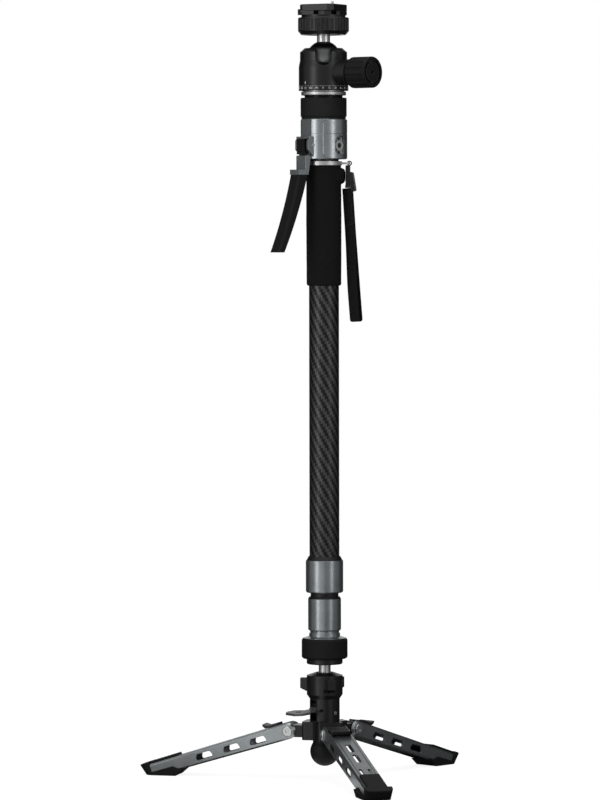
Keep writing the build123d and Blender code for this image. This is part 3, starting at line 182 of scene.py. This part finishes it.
def dark_flag(name, first, last, inner, outer, low, high, level=0.03):
    """A card between two azimuths, seen in reflections alone.

    It runs from the inner radius at its low edge to the outer one at its high edge.
    """
    steps = 24
    points = []
    for step in range(steps + 1):
        azimuth = camera_azimuth + first + (last - first) * step / steps
        points += [round_pole(azimuth, inner, low), round_pole(azimuth, outer, high)]
    faces = [(2 * n, 2 * n + 2, 2 * n + 3, 2 * n + 1) for n in range(steps)]
    data = bpy.data.meshes.new(name)
    data.from_pydata([tuple(p) for p in points], [], faces)
    made = bpy.data.materials.new(name)
    made.use_nodes = True
    tree = made.node_tree
    tree.nodes.clear()
    dark = add(tree, "ShaderNodeEmission", {"Color": (level, level, level, 1), "Strength": 1.0})
    add(tree, "ShaderNodeOutputMaterial", {"Surface": dark})
    data.materials.append(made)
    card = bpy.data.objects.new(name, data)
    bpy.context.scene.collection.objects.link(card)
    card.visible_camera = False
    card.visible_diffuse = False
    card.visible_shadow = False
    card.visible_transmission = False


area_lamp("key", -48, distance=2.6, height=0.8, width=0.7, tall=1.9, level=4.0)
area_lamp("fill", 46, distance=2.6, height=0.8, width=0.45, tall=1.9, level=3.4)
area_lamp("top", 0, distance=0.6, height=2.6, width=1.4, tall=1.4, level=2.2)
near, far, top = 2.0, 3.2, 3.0
dark_flag("flag_front", -36, 36, inner=far, outer=far, low=0.0, high=top, level=0.56)
dark_flag("flag_left", -162, -102, inner=near, outer=near, low=0.0, high=top)
dark_flag("flag_left_soft", -102, -64, inner=near, outer=near, low=0.0, high=top, level=0.55)
dark_flag("flag_right", 100, 162, inner=near, outer=near, low=0.0, high=top)
dark_flag("flag_right_soft", 58, 100, inner=near, outer=near, low=0.0, high=top, level=0.42)
dark_flag("flag_back", 162, 198, inner=near, outer=near, low=1.0, high=top, level=0.6)
dark_flag("flag_floor", -4, 304, inner=0.04, outer=2.2, low=0.1 * mm, high=0.1 * mm, level=0.05)
make_world()
make_floor()
bpy.context.scene.view_settings.view_transform = "Standard"


# Materials. Noise scales are per metre.
mottle_scale = 55.0
slow_scale = 38.0


def grey(value, tint=(1.0, 1.0, 1.0)):
    """A linear grey, tinted or not."""
    return (value * tint[0], value * tint[1], value * tint[2], 1.0)


def scaled(colour, share):
    """A colour made darker or lighter."""
    return (*(c * share for c in colour[:3]), 1.0)


class Look:
    """A material whose colour, roughness and relief come from its nodes."""

    def __init__(self, name):
        self.material = bpy.data.materials.new(name)
        self.material.use_nodes = True
        self.tree = self.material.node_tree
        self.tree.nodes.clear()
        self.place = add(self.tree, "ShaderNodeTexCoord", output="Object")

    def node(self, kind, inputs=(), output=0, **settings):
        return add(self.tree, kind, inputs, output, **settings)

    def calc(self, operation, *values):
        return calc(self.tree, operation, *values)

    def times(self, vector, scale):
        return self.node("ShaderNodeVectorMath", {0: vector, 1: scale}, operation="MULTIPLY")

    def split(self):
        """The three coordinates of the place."""
        parts = self.tree.nodes.new("ShaderNodeSeparateXYZ")
        self.tree.links.new(self.place, parts.inputs[0])
        return parts.outputs

    def stretched(self, scale, along=None):
        """The place with each axis scaled, on the object's axes or on three others."""
        if along is None:
            return self.times(self.place, scale)
        parts = {}
        for index, axis in enumerate(along):
            parts[index] = self.node(
                "ShaderNodeVectorMath",
                {0: self.place, 1: Vector(axis) * scale[index]},
                output="Value",
                operation="DOT_PRODUCT",
            )
        return self.node("ShaderNodeCombineXYZ", parts)

    def noise(self, scale, detail=3.0, vector=None):
        inputs = {"Vector": vector or self.place, "Scale": scale, "Detail": detail}
        return self.node("ShaderNodeTexNoise", inputs)

    def cylinder(self):
        """Angle in turns and height in metres round the pole axis."""
        x, y, z = self.split()
        x = self.calc("SUBTRACT", x, pole_x)
        y = self.calc("SUBTRACT", y, pole_y)
        angle = self.calc("ARCTAN2", y, x)
        return self.calc("DIVIDE", angle, 2 * pi), z

    def between(self, factor, first, second):
        """A mix of two colours."""
        colours = {0: factor, 6: first, 7: second}
        return self.node("ShaderNodeMix", colours, output=2, data_type="RGBA")

    def spread(self, value, low, high, from_low=0.25, from_high=0.75):
        """A value's usual range, a noise's by default, brought to another."""
        inputs = {"Value": value, "From Min": from_low, "From Max": from_high}
        return self.node("ShaderNodeMapRange", {**inputs, "To Min": low, "To Max": high})

    def relief(self, height, distance, normal=None):
        """A bumped normal, distance metres from its low to its high places."""
        inputs = {"Height": height, "Distance": distance, "Strength": 1.0}
        if normal is not None:
            inputs["Normal"] = normal
        return self.node("ShaderNodeBump", inputs)

    def soft_edge(self, radius):
        """The normal with its edges rounded."""
        return self.node("ShaderNodeBevel", {"Radius": radius}, samples=4)

    def worn(self, edge_normal):
        """1 along edges, from how far the rounded normal leans from the true one: the mask of the
        painted edge highlight.
        """
        pair = {0: edge_normal, 1: self.node("ShaderNodeNewGeometry", output="Normal")}
        lean = self.node("ShaderNodeVectorMath", pair, output="Value", operation="DOT_PRODUCT")
        return self.spread(self.calc("SUBTRACT", 1.0, lean), 0.0, 1.0, 0.02, 0.3)

    def done(self, colour, rough, normal, metal=0.0, spec=0.5, **extra):
        """Closes the material with its one shader."""
        inputs = {
            "Base Color": colour, "Roughness": rough, "Normal": normal,
            "Metallic": metal, "Specular IOR Level": spec, **extra,
        }
        shader = self.node("ShaderNodeBsdfPrincipled", inputs)
        self.node("ShaderNodeOutputMaterial", {"Surface": shader})
        return self.material


def hard(
    name, colour, rough, metal, spec=0.5, grain=2600.0, lift=0.012 * mm, painted_edge_highlight=1.6,
    along=None, stretch=(1, 1, 1), mottle=0.12, edge=0.35 * mm, black_above=None,
):
    """A machined or moulded hard surface: mottled colour, fine grain and a painted highlight that
    lightens the edges.

    Grain is counted per metre and stretched on the object's axes or on those in along.
    The edge factor is how much lighter the edges are painted, a painted highlight, and the piece is
    black above a height.
    """
    look = Look(name)
    rounded = look.soft_edge(edge)
    coarse = look.noise(mottle_scale)
    fine = look.noise(grain, 2.0, look.stretched(stretch, along))
    dull, pale = scaled(colour, 1 - mottle), scaled(colour, 1 + mottle)
    tone = look.between(look.spread(coarse, 0.0, 1.0), dull, pale)
    tone = look.between(look.spread(fine, 0.0, 0.35), tone, scaled(colour, 1 - 2 * mottle))
    # Painted highlight: the edges are painted lighter, standing in for light caught along them.
    tone = look.between(look.worn(rounded), tone, scaled(colour, painted_edge_highlight))
    if black_above is not None:
        above = look.calc("GREATER_THAN", look.split()[2], black_above)
        tone = look.between(above, tone, grey(0.006))
    roughness = look.spread(fine, rough * 0.88, rough * 1.12)
    normal = look.relief(fine, lift, rounded)
    return look.done(tone, roughness, normal, metal, spec)


def soft(name, colour, rough, grain, lift, spec=0.3, sheen=0.0, pores=None):
    """Rubber or foam: matt, with a fine skin and slow shading."""
    look = Look(name)
    slow = look.noise(slow_scale, 4.0)
    skin = look.noise(grain, 3.0)
    tone = look.between(look.spread(slow, 0.0, 1.0), scaled(colour, 0.85), scaled(colour, 1.18))
    tone = look.between(look.spread(skin, 0.0, 0.5, 0.35, 0.7), tone, scaled(colour, 1.5))
    height = skin
    if pores:
        cells = look.node("ShaderNodeTexVoronoi", {"Vector": look.place, "Scale": pores})
        height = look.calc("ADD", skin, look.calc("MULTIPLY", cells, 0.8))
    normal = look.relief(height, lift, look.soft_edge(0.5 * mm))
    roughness = look.spread(skin, rough * 0.9, min(1.0, rough * 1.1))
    nap = {"Sheen Weight": sheen, "Sheen Roughness": 0.5}
    return look.done(tone, roughness, normal, 0.0, spec, **nap)


def carbon():
    """Twill-woven tows under clear resin; a wale descends as it goes round."""
    look = Look("carbon_twill")
    tows, tow_height = 52, 3.05 * mm
    turns, z = look.cylinder()
    across = look.calc("MULTIPLY", turns, tows)
    down = look.calc("DIVIDE", z, tow_height)
    diagonal = look.calc("ADD", look.calc("FLOOR", across), look.calc("FLOOR", down))
    over = look.calc("LESS_THAN", look.calc("FLOORED_MODULO", diagonal, 4.0), 2.0)
    place = look.node("ShaderNodeCombineXYZ", {0: across, 1: down})
    upright = look.noise(1.0, 3.0, look.times(place, (9, 0.7, 1)))
    level = look.noise(1.0, 3.0, look.times(place, (0.7, 12, 1)))
    # Partly painted reflection: the twill pattern is the weave's own, but the upright tows are
    # painted lighter than the level ones, standing in for the light they reflect.
    reflection_grey_low, reflection_grey_high = grey(0.026), grey(0.066, (0.98, 1, 1.02))
    upright_painted_reflection = look.between(look.spread(upright, 0.0, 1.0), reflection_grey_low, reflection_grey_high)
    dark = look.between(look.spread(level, 0.0, 1.0), grey(0.002), grey(0.008))
    round_across = look.calc("SINE", look.calc("MULTIPLY", look.calc("FRACT", across), pi))
    round_down = look.calc("SINE", look.calc("MULTIPLY", look.calc("FRACT", down), pi))
    crown = look.node("ShaderNodeMix", {0: over, 2: round_down, 3: round_across}, data_type="FLOAT")
    normal = look.relief(crown, 0.12 * mm)
    rough = look.spread(over, 0.42, 0.34, 0.0, 1.0)
    return look.done(
        look.between(over, dark, upright_painted_reflection), rough, normal, 0.7, 0.3,
        **{"Coat Weight": 0.22, "Coat Roughness": 0.28},
    )


def webbing_weave():
    """Woven polyester: ribs across the strap and warp lines down it, from its own length."""
    look = Look("webbing_weave")
    look.place = look.node("ShaderNodeUVMap")
    warps, wefts = 14, 150
    u, v, _ = look.split()
    warp = look.calc("SINE", look.calc("MULTIPLY", u, 2 * pi * warps))
    down = look.calc("MULTIPLY", v, 2 * pi * wefts)
    shift = look.calc("MULTIPLY", look.calc("SIGN", warp), pi / 2)
    weft = look.calc("SINE", look.calc("ADD", down, shift))
    ridges = look.calc("MULTIPLY", look.calc("ABSOLUTE", warp), 0.5)
    height = look.calc("ADD", ridges, look.calc("MULTIPLY", weft, 0.5))
    # Painted shade: the weave's hollows are painted darker than its crests.
    tone = look.between(look.spread(height, 0.0, 1.0, -0.5, 1.0), grey(0.002), grey(0.008))
    rough = look.spread(height, 0.9, 0.7, -0.5, 1.0)
    normal = look.relief(height, 0.12 * mm)
    return look.done(tone, rough, normal, 0.0, 0.12, **{"Sheen Weight": 0.03})


def knurled(name, colour, rough, count, pitch, lift, spec):
    """Fine crossed knurling round the pole axis."""
    look = Look(name)
    turns, z = look.cylinder()
    first = look.calc("SINE", look.calc("MULTIPLY", turns, 2 * pi * count))
    second = look.calc("SINE", look.calc("MULTIPLY", z, 2 * pi / pitch))
    height = look.calc("ADD", look.calc("ABSOLUTE", first), look.calc("ABSOLUTE", second))
    skin = look.noise(1500.0, 2.0)
    painted_ridge_light = look.spread(height, 0.0, 1.0, 0.0, 2.0)
    # Painted light and shade: the knurl's ridges are painted lighter and its grooves darker.
    tone = look.between(painted_ridge_light, scaled(colour, 0.7), scaled(colour, 1.3))
    tone = look.between(look.spread(skin, 0.0, 0.4), tone, scaled(colour, 1.4))
    normal = look.relief(height, lift, look.soft_edge(0.4 * mm))
    return look.done(tone, look.spread(skin, rough * 0.9, rough * 1.1), normal, 0.0, spec)


def leg_axes(azimuth):
    """Unit vectors along a leg, across it and square to its top."""
    turn = Matrix.Rotation(radians(azimuth), 3, "Z") @ Matrix.Rotation(radians(leg_slope), 3, "Y")
    return [turn @ Vector(axis) for axis in ((1, 0, 0), (0, 1, 0), (0, 0, 1))]


def ball_and_neck():
    """Hard-anodised ball with painted light: painted shade darkens its top and a painted reflection
    pales it toward its foot, under a bare turned neck.
    """
    look = Look("ball_and_neck")
    low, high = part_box("head_ball")
    middle = low.z + (high.x - low.x) / 2
    neck_length = 13.5 * mm
    z = look.split()[2]
    fine = look.noise(2200.0, 2.0, look.stretched(ring_lines))
    # Painted shade and painted reflection: dark at the top, pale toward the foot, standing in for
    # what the ball reflects.
    pale = look.spread(z, 1.0, 0.0, middle - 9 * mm, middle + 11 * mm)
    tone = look.between(pale, grey(0.008), grey(0.30, (0.96, 1.0, 1.02)))
    neck = look.calc("GREATER_THAN", z, high.z - neck_length)
    silver = look.between(look.spread(fine, 0.0, 1.0), grey(0.40), grey(0.52))
    metal = look.spread(neck, 0.7, 1.0, 0.0, 1.0)
    rough = look.spread(fine, 0.28, 0.36)
    normal = look.relief(fine, 0.004 * mm, look.soft_edge(0.4 * mm))
    return look.done(look.between(neck, tone, silver), rough, normal, metal, 0.4)


alloy_grey = grey(0.27, (0.93, 1.0, 1.03))
ring_lines = (0.03, 0.03, 1.0)
# Each piece's edge factor below sets how much lighter its edges are painted, a painted highlight.
looks = {
    "black_alloy": hard("black_anodised", grey(0.0045), 0.34, 0.0, 0.34, painted_edge_highlight=7.0),
    "black_latch": hard("latch_moulded", grey(0.004), 0.44, 0.0, 0.3, painted_edge_highlight=7.0),
    "rubber": soft("rubber_moulded", grey(0.0045), 0.6, 900.0, 0.05 * mm, 0.16),
    "steel": hard("turned_steel", grey(0.5), 0.34, 1.0, stretch=ring_lines, painted_edge_highlight=1.3),
    "silver_alloy": hard("turned_silver", grey(0.46), 0.44, 1.0, stretch=ring_lines, painted_edge_highlight=1.2),
    "grey_alloy": hard("grey_anodised", alloy_grey, 0.3, 0.9, stretch=ring_lines, painted_edge_highlight=1.8),
    "black_plastic": hard("black_moulded", grey(0.004), 0.42, 0.0, 0.3, painted_edge_highlight=7.0),
    "foam": soft("closed_cell_foam", grey(0.004), 0.8, 700.0, 0.09 * mm, 0.12, 0.01, pores=1500.0),
    "rod_alloy": hard("drawn_rod", grey(0.4), 0.4, 1.0, painted_edge_highlight=1.2),
    "head_black": hard("head_anodised", grey(0.0036), 0.36, 0.0, 0.34, grain=3200.0, painted_edge_highlight=7.0),
    "ball_black": ball_and_neck(),
    "carbon": carbon(),
    "webbing": webbing_weave(),
}
for leg, azimuth in leg_azimuths.items():
    looks[f"leg_{leg}"] = hard(
        f"leg_anodised_{leg}", grey(0.3, (0.93, 1.0, 1.02)), 0.32, 0.96,
        along=leg_axes(azimuth), stretch=(0.04, 1, 1), grain=1500.0, painted_edge_highlight=2.2,
    )
looks["knurl"] = knurled("lock_ring_knurl", grey(0.005), 0.5, 150, 0.95 * mm, 0.1 * mm, 0.22)
looks["twist_rubber"] = knurled(
    "twist_ring_rubber", grey(0.004), 0.6, 120, 1.2 * mm, 0.08 * mm, 0.16
)
looks["grip_rubber"] = soft("lever_rubber", grey(0.004), 0.62, 1100.0, 0.06 * mm, 0.16)
looks["gloss_plastic"] = hard(
    "gloss_plastic", grey(0.003), 0.14, 0.0, 0.5, lift=0.004 * mm, painted_edge_highlight=60.0
)
looks["handle_shell"] = hard(
    "handle_anodised", alloy_grey, 0.3, 0.9, stretch=ring_lines, painted_edge_highlight=1.8,
    black_above=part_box("head_lock_ring")[0].z + 1 * mm,
)
looks["paint"] = hard("white_paint", grey(0.72), 0.6, 0.0, 0.3, mottle=0.05, painted_edge_highlight=1.0)
looks["thread"] = soft("black_thread", grey(0.02), 0.7, 4000.0, 0.05 * mm, 0.2, 0.05)
looks["pedal_grey"] = hard("pedal_anodised", grey(0.09, (0.95, 1.0, 0.98)), 0.45, 0.6, painted_edge_highlight=1.8)

own_look = {
    "base_ring": "twist_rubber",
    "head_lock_ring": "knurl",
    "lever_grip": "grip_rubber",
    "knob_core": "gloss_plastic",
    "pedal": "pedal_grey",
    "pedal_pin": "black_alloy",
    "handle_shell": "handle_shell",
}
slot_of = {row["node"]: row["material_slot"] for row in frame["record"]["subparts"]}


def dress_nodes():
    """Every CAD node gets the look of its slot, or its own."""
    for name, thing in nodes.items():
        look = own_look.get(name, slot_of[name])
        if name.startswith("leg_channel_"):
            look = "leg_" + name.removeprefix("leg_channel_")
        if not thing.material_slots:
            thing.data.materials.append(None)
        for slot in thing.material_slots:
            slot.material = looks[look]


dress_nodes()


# Pieces made here

def piece(name, points, faces, look, body, smooth=True):
    """A mesh piece in the row frame that rides on a body."""
    data = bpy.data.meshes.new(name)
    data.from_pydata([tuple(p) for p in points], [], faces)
    data.validate()
    data.update()
    data.polygons.foreach_set("use_smooth", [smooth] * len(data.polygons))
    data.materials.append(looks[look])
    made = bpy.data.objects.new(name, data)
    bpy.context.scene.collection.objects.link(made)
    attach(made, body)
    return made


def ring_faces(loops, size, closed=True):
    """Quads between successive closed loops of points."""
    faces = []
    for loop in range(loops if closed else loops - 1):
        near, far = loop * size, (loop + 1) % loops * size
        for spot in range(size):
            beside = (spot + 1) % size
            faces.append((near + spot, near + beside, far + beside, far + spot))
    return faces


def smooth_max(first, second, blend):
    """The larger of two lengths, with a rounded change from one to the other."""
    gap = max(blend - abs(first - second), 0) / blend
    return max(first, second) + gap * gap * blend / 4


def foam_grip():
    """The foam sleeve: crowned ends, a palm swell under the strap lug, and a live skin."""
    low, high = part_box("foam_grip")[0].z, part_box("foam_grip")[1].z
    bore, sleeve = 15.06 * mm, 17.3 * mm
    foot, crown = 2.2 * mm, 0.9 * mm
    swell_radius, swell_tip, swell_height, swell_slope = 11 * mm, 6.5 * mm, 16 * mm, 4.5 * mm
    swell_centre = 21.6 * mm - swell_radius
    swell_low = high - 2.5 * mm - swell_height
    profile = [(bore, low)]
    steps = 6
    for step in range(steps + 1):
        turn = step / steps * pi / 2
        profile.append((sleeve - foot * (1 - sin(turn)), low + foot * (1 - cos(turn))))
    rows = 150
    for row in range(1, rows):
        profile.append((sleeve, low + foot + (high - low - foot - crown) * row / rows))
    for step in range(steps + 1):
        turn = step / steps * pi / 2
        profile.append((sleeve - crown * (1 - cos(turn)), high - crown * (1 - sin(turn))))
    profile.append((bore, high))

    def swell(z, angle):
        """How far the palm swell reaches from the pole at a height and angle."""
        rise = z - swell_low
        if not 0 < rise < swell_height:
            return 0.0
        edge = min(min(rise, swell_height - rise) / swell_slope, 1.0)
        radius = swell_tip + (swell_radius - swell_tip) * sqrt(edge * (2 - edge))
        side = swell_centre * sin(angle)
        if abs(side) >= radius:
            return 0.0
        return swell_centre * cos(angle) + sqrt(radius**2 - side**2)

    segments = 144
    points = []
    for radius, z in profile:
        for segment in range(segments):
            azimuth = 360.0 * segment / segments
            reach = radius
            if radius > bore:
                spot = Vector((cos(radians(azimuth)), sin(radians(azimuth)), z * 45))
                lift = 0.12 * mm * noise.noise(spot * 2.2) + 0.05 * mm * noise.noise(spot * 9.0)
                bulge = 0.25 * mm * sin(pi * (z - low) / (high - low))
                swollen = swell(z, radians(azimuth - strap_azimuth))
                reach = smooth_max(radius + lift + bulge, swollen, 2.5 * mm)
            points.append(round_pole(azimuth, reach, z))
    faces = ring_faces(len(profile), segments)
    made = piece("foam_sleeve", points, faces, "foam", "upper_section")
    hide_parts("foam_grip")


foam_grip()

# Wrist strap webbing: sewn together at its top, and parted from there to its fold
webbing_width = 14.6 * mm
webbing_ply = 1.2 * mm
webbing_ply_gap = 0.06 * mm
webbing_length = 133.5 * mm
webbing_sewn = 38.0 * mm
webbing_spread = 2.4 * mm
webbing_wide = 108.0 * mm
webbing_wave, webbing_wave_run = 0.35 * mm, 19 * mm
strap_lean, strap_turn = -3.6, 45.0
strap_reach, strap_drop = 23.9 * mm, 0.25 * mm


def strap_frame():
    """The webbing's own frame: X through its plies, Y across it and Z up it."""
    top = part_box("strap_webbing")[1].z
    hang = Matrix.Rotation(radians(strap_lean), 4, "Y")
    hang = hang @ Matrix.Rotation(radians(strap_turn), 4, "Z")
    turn = Matrix.Rotation(radians(strap_azimuth), 4, "Z")
    reach = Matrix.Translation((strap_reach, 0, 0))
    return Matrix.Translation((pole_x, pole_y, top - strap_drop)) @ turn @ reach @ hang


def parted(z):
    """How far the plies have parted at a distance down the strap, from 0 to 1."""
    share = min(max((z - webbing_sewn) / (webbing_wide - webbing_sewn), 0.0), 1.0)
    return share * share * (3 - 2 * share)


def wave_at(z):
    """The slow wave of both plies at a distance down the strap."""
    return webbing_wave * sin(z / webbing_wave_run) * parted(z)


def webbing_line():
    """The strip's middle line as (x, z), down one ply, round the fold and up the other."""
    half = webbing_ply / 2 + webbing_ply_gap
    fold = half + webbing_spread / 2
    count, turns = 60, 10
    end = webbing_length - fold - webbing_ply / 2
    down = []
    for step in range(count + 1):
        z = end * step / count
        down.append((-(half + (fold - half) * parted(z)) + wave_at(z), -z))
    up = [(-x + 2 * wave_at(-z), z) for x, z in reversed(down)]
    arc = []
    for step in range(1, turns):
        angle = pi * step / turns
        arc.append((wave_at(end) - fold * cos(angle), -end - fold * sin(angle)))
    return down + arc + up


def strap():
    """The strip is one length of webbing, with rounded selvedges."""
    line = webbing_line()
    place = strap_frame()
    half, thick = webbing_width / 2, webbing_ply / 2
    section = []
    across = 14
    for step in range(across + 1):
        y = -half + webbing_width * step / across
        edge = 1 - abs(y) / half
        section.append((thick * min(1.0, 0.55 + edge * 4), y))
    section += [(-x, y) for x, y in reversed(section)]
    points, lengths = [], [0.0]
    for spot, (x, z) in enumerate(line):
        before, after = line[max(spot - 1, 0)], line[min(spot + 1, len(line) - 1)]
        run_x, run_z = after[0] - before[0], after[1] - before[1]
        size = hypot(run_x, run_z)
        normal_x, normal_z = run_z / size, -run_x / size
        if spot:
            lengths.append(lengths[-1] + hypot(x - line[spot - 1][0], z - line[spot - 1][1]))
        for off, y in section:
            points.append(place @ Vector((x + off * normal_x, y, z + off * normal_z)))
    size = len(section)
    faces = ring_faces(len(line), size, closed=False)
    faces.append(tuple(reversed(range(size))))
    faces.append(tuple((len(line) - 1) * size + spot for spot in range(size)))
    made = piece("wrist_webbing", points, faces, "webbing", "strap")
    layer = made.data.uv_layers.new(name="UVMap")
    for loop in made.data.loops:
        spot = loop.vertex_index
        y, run = section[spot % size][1], lengths[spot // size]
        layer.data[loop.index].uv = ((y + half) / webbing_width, run / webbing_length)
    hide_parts("strap_webbing")
    stitches = strap_stitches(place)


def strap_stitches(place):
    """A sewn box through both plies: short raised threads in rows."""
    face_x = webbing_ply + 0.1 * mm
    long, thick, pitch, second_row = 2.0 * mm, 0.3 * mm, 2.7 * mm, 2.2 * mm
    side_y, low, high = webbing_width / 2 - 2.0 * mm, -webbing_sewn + 1.5 * mm, -3.0 * mm
    thread_shape = ((-0.5, 0.35), (-0.38, 0.8), (0.0, 1.0), (0.38, 0.8), (0.5, 0.35))
    threads = []
    rows = round((high - low) / pitch)
    for row in range(rows):
        z = high + (low - high) * (row + 0.5) / rows
        threads += [((side_y, z), (0, 1)), ((-side_y, z), (0, 1))]
    columns = round(2 * side_y / pitch)
    for z in (low, high, low + second_row):
        for column in range(columns):
            y = -side_y + 2 * side_y * (column + 0.5) / columns
            threads.append(((y, z), (1, 0)))
    points, faces = [], []
    sides = 6
    for (y, z), (run_y, run_z) in threads:
        for face in (-1, 1):
            start = len(points)
            for share, girth in thread_shape:
                for side in range(sides):
                    angle = 2 * pi * side / sides
                    out, flat = thick * girth * cos(angle), thick * girth * sin(angle)
                    spot = Vector((
                        face * (face_x + out * 0.7),
                        y + long * share * run_y + flat * run_z,
                        z + long * share * run_z + flat * run_y,
                    ))
                    points.append(place @ spot)
            for loop in range(4):
                for side in range(sides):
                    beside = (side + 1) % sides
                    a, b = start + loop * sides, start + (loop + 1) * sides
                    faces.append((a + side, a + beside, b + beside, b + side))
            faces.append(tuple(start + side for side in reversed(range(sides))))
            faces.append(tuple(start + 4 * sides + side for side in range(sides)))
    return piece("strap_stitches", points, faces, "thread", "strap")


strap()


# Printed marks

def wrapped(shapes, radius, lift):
    """Flat shapes on the unrolled cylinder, as (points, faces), wrapped round the pole."""
    points, faces = [], []
    for flat_points, flat_faces in shapes:
        start = len(points)
        for x, z, out in flat_points:
            azimuth = x / radius * 180 / pi
            points.append(round_pole(azimuth, radius + lift * out, z))
        faces += [tuple(start + spot for spot in face) for face in flat_faces]
    return points, faces


def tick(x, z, width, tall):
    """A small raised bar, cut across so that it follows the curve."""
    cuts = 3
    flat, faces = [], []
    for cut in range(cuts + 1):
        at = x - width / 2 + width * cut / cuts
        flat += [(at, z, 0.0), (at, z, 1.0), (at, z + tall, 1.0), (at, z + tall, 0.0)]
    for cut in range(cuts):
        a, b = cut * 4, cut * 4 + 4
        for side in range(4):
            beside = (side + 1) % 4
            faces.append((a + side, b + side, b + beside, a + beside))
    faces += [(0, 1, 2, 3), tuple(cuts * 4 + side for side in (3, 2, 1, 0))]
    return flat, faces


def numeral(text, x, z, tall):
    """Plain figures, centred on x with their foot at z."""
    figure_share = 0.7
    curve = bpy.data.curves.new("figures", "FONT")
    curve.body = text
    curve.size = tall / figure_share
    curve.extrude = 0.5 * tall
    curve.align_x = "CENTER"
    holder = bpy.data.objects.new("figures", curve)
    bpy.context.scene.collection.objects.link(holder)
    evaluated = holder.evaluated_get(bpy.context.evaluated_depsgraph_get())
    shape = bpy.data.meshes.new_from_object(evaluated)
    flat = [(x + v.co.x, z + v.co.y, 1.0 if v.co.z > 0 else 0.0) for v in shape.vertices]
    faces = [tuple(face.vertices) for face in shape.polygons]
    bpy.data.objects.remove(holder)
    bpy.data.curves.remove(curve)
    bpy.data.meshes.remove(shape)
    return flat, faces


def scale_marks():
    """Degree figures and ticks round the graduated ring, and the index above them."""
    low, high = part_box("scale_ring")
    radius = (high.x - low.x) / 2
    z = low.z
    zero_azimuth, index_azimuth = -108.1, -153.8
    figure_step, fine_step = 15, 3
    paint_height = 0.06 * mm
    shapes = []
    for figure in range(0, 360, figure_step):
        x = radians(zero_azimuth + figure) * radius
        shapes.append(tick(x, z + 3.9 * mm, 0.4 * mm, 0.8 * mm))
        shapes.append(numeral(str(figure), x, z + 1.5 * mm, 1.8 * mm))
        for fine in range(fine_step, figure_step, fine_step):
            x = radians(zero_azimuth + figure + fine) * radius
            shapes.append(tick(x, z + 4.2 * mm, 0.3 * mm, 0.5 * mm))
    points, faces = wrapped(shapes, radius, paint_height)
    piece("scale_figures", points, faces, "paint", "upper_section", smooth=False)
    body_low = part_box("head_body")[0].z
    index = tick(radians(index_azimuth) * radius, body_low + 1.2 * mm, 0.8 * mm, 2.6 * mm)
    points, faces = wrapped([index], radius, paint_height)
    piece("scale_index", points, faces, "paint", "head", smooth=False)


scale_marks()
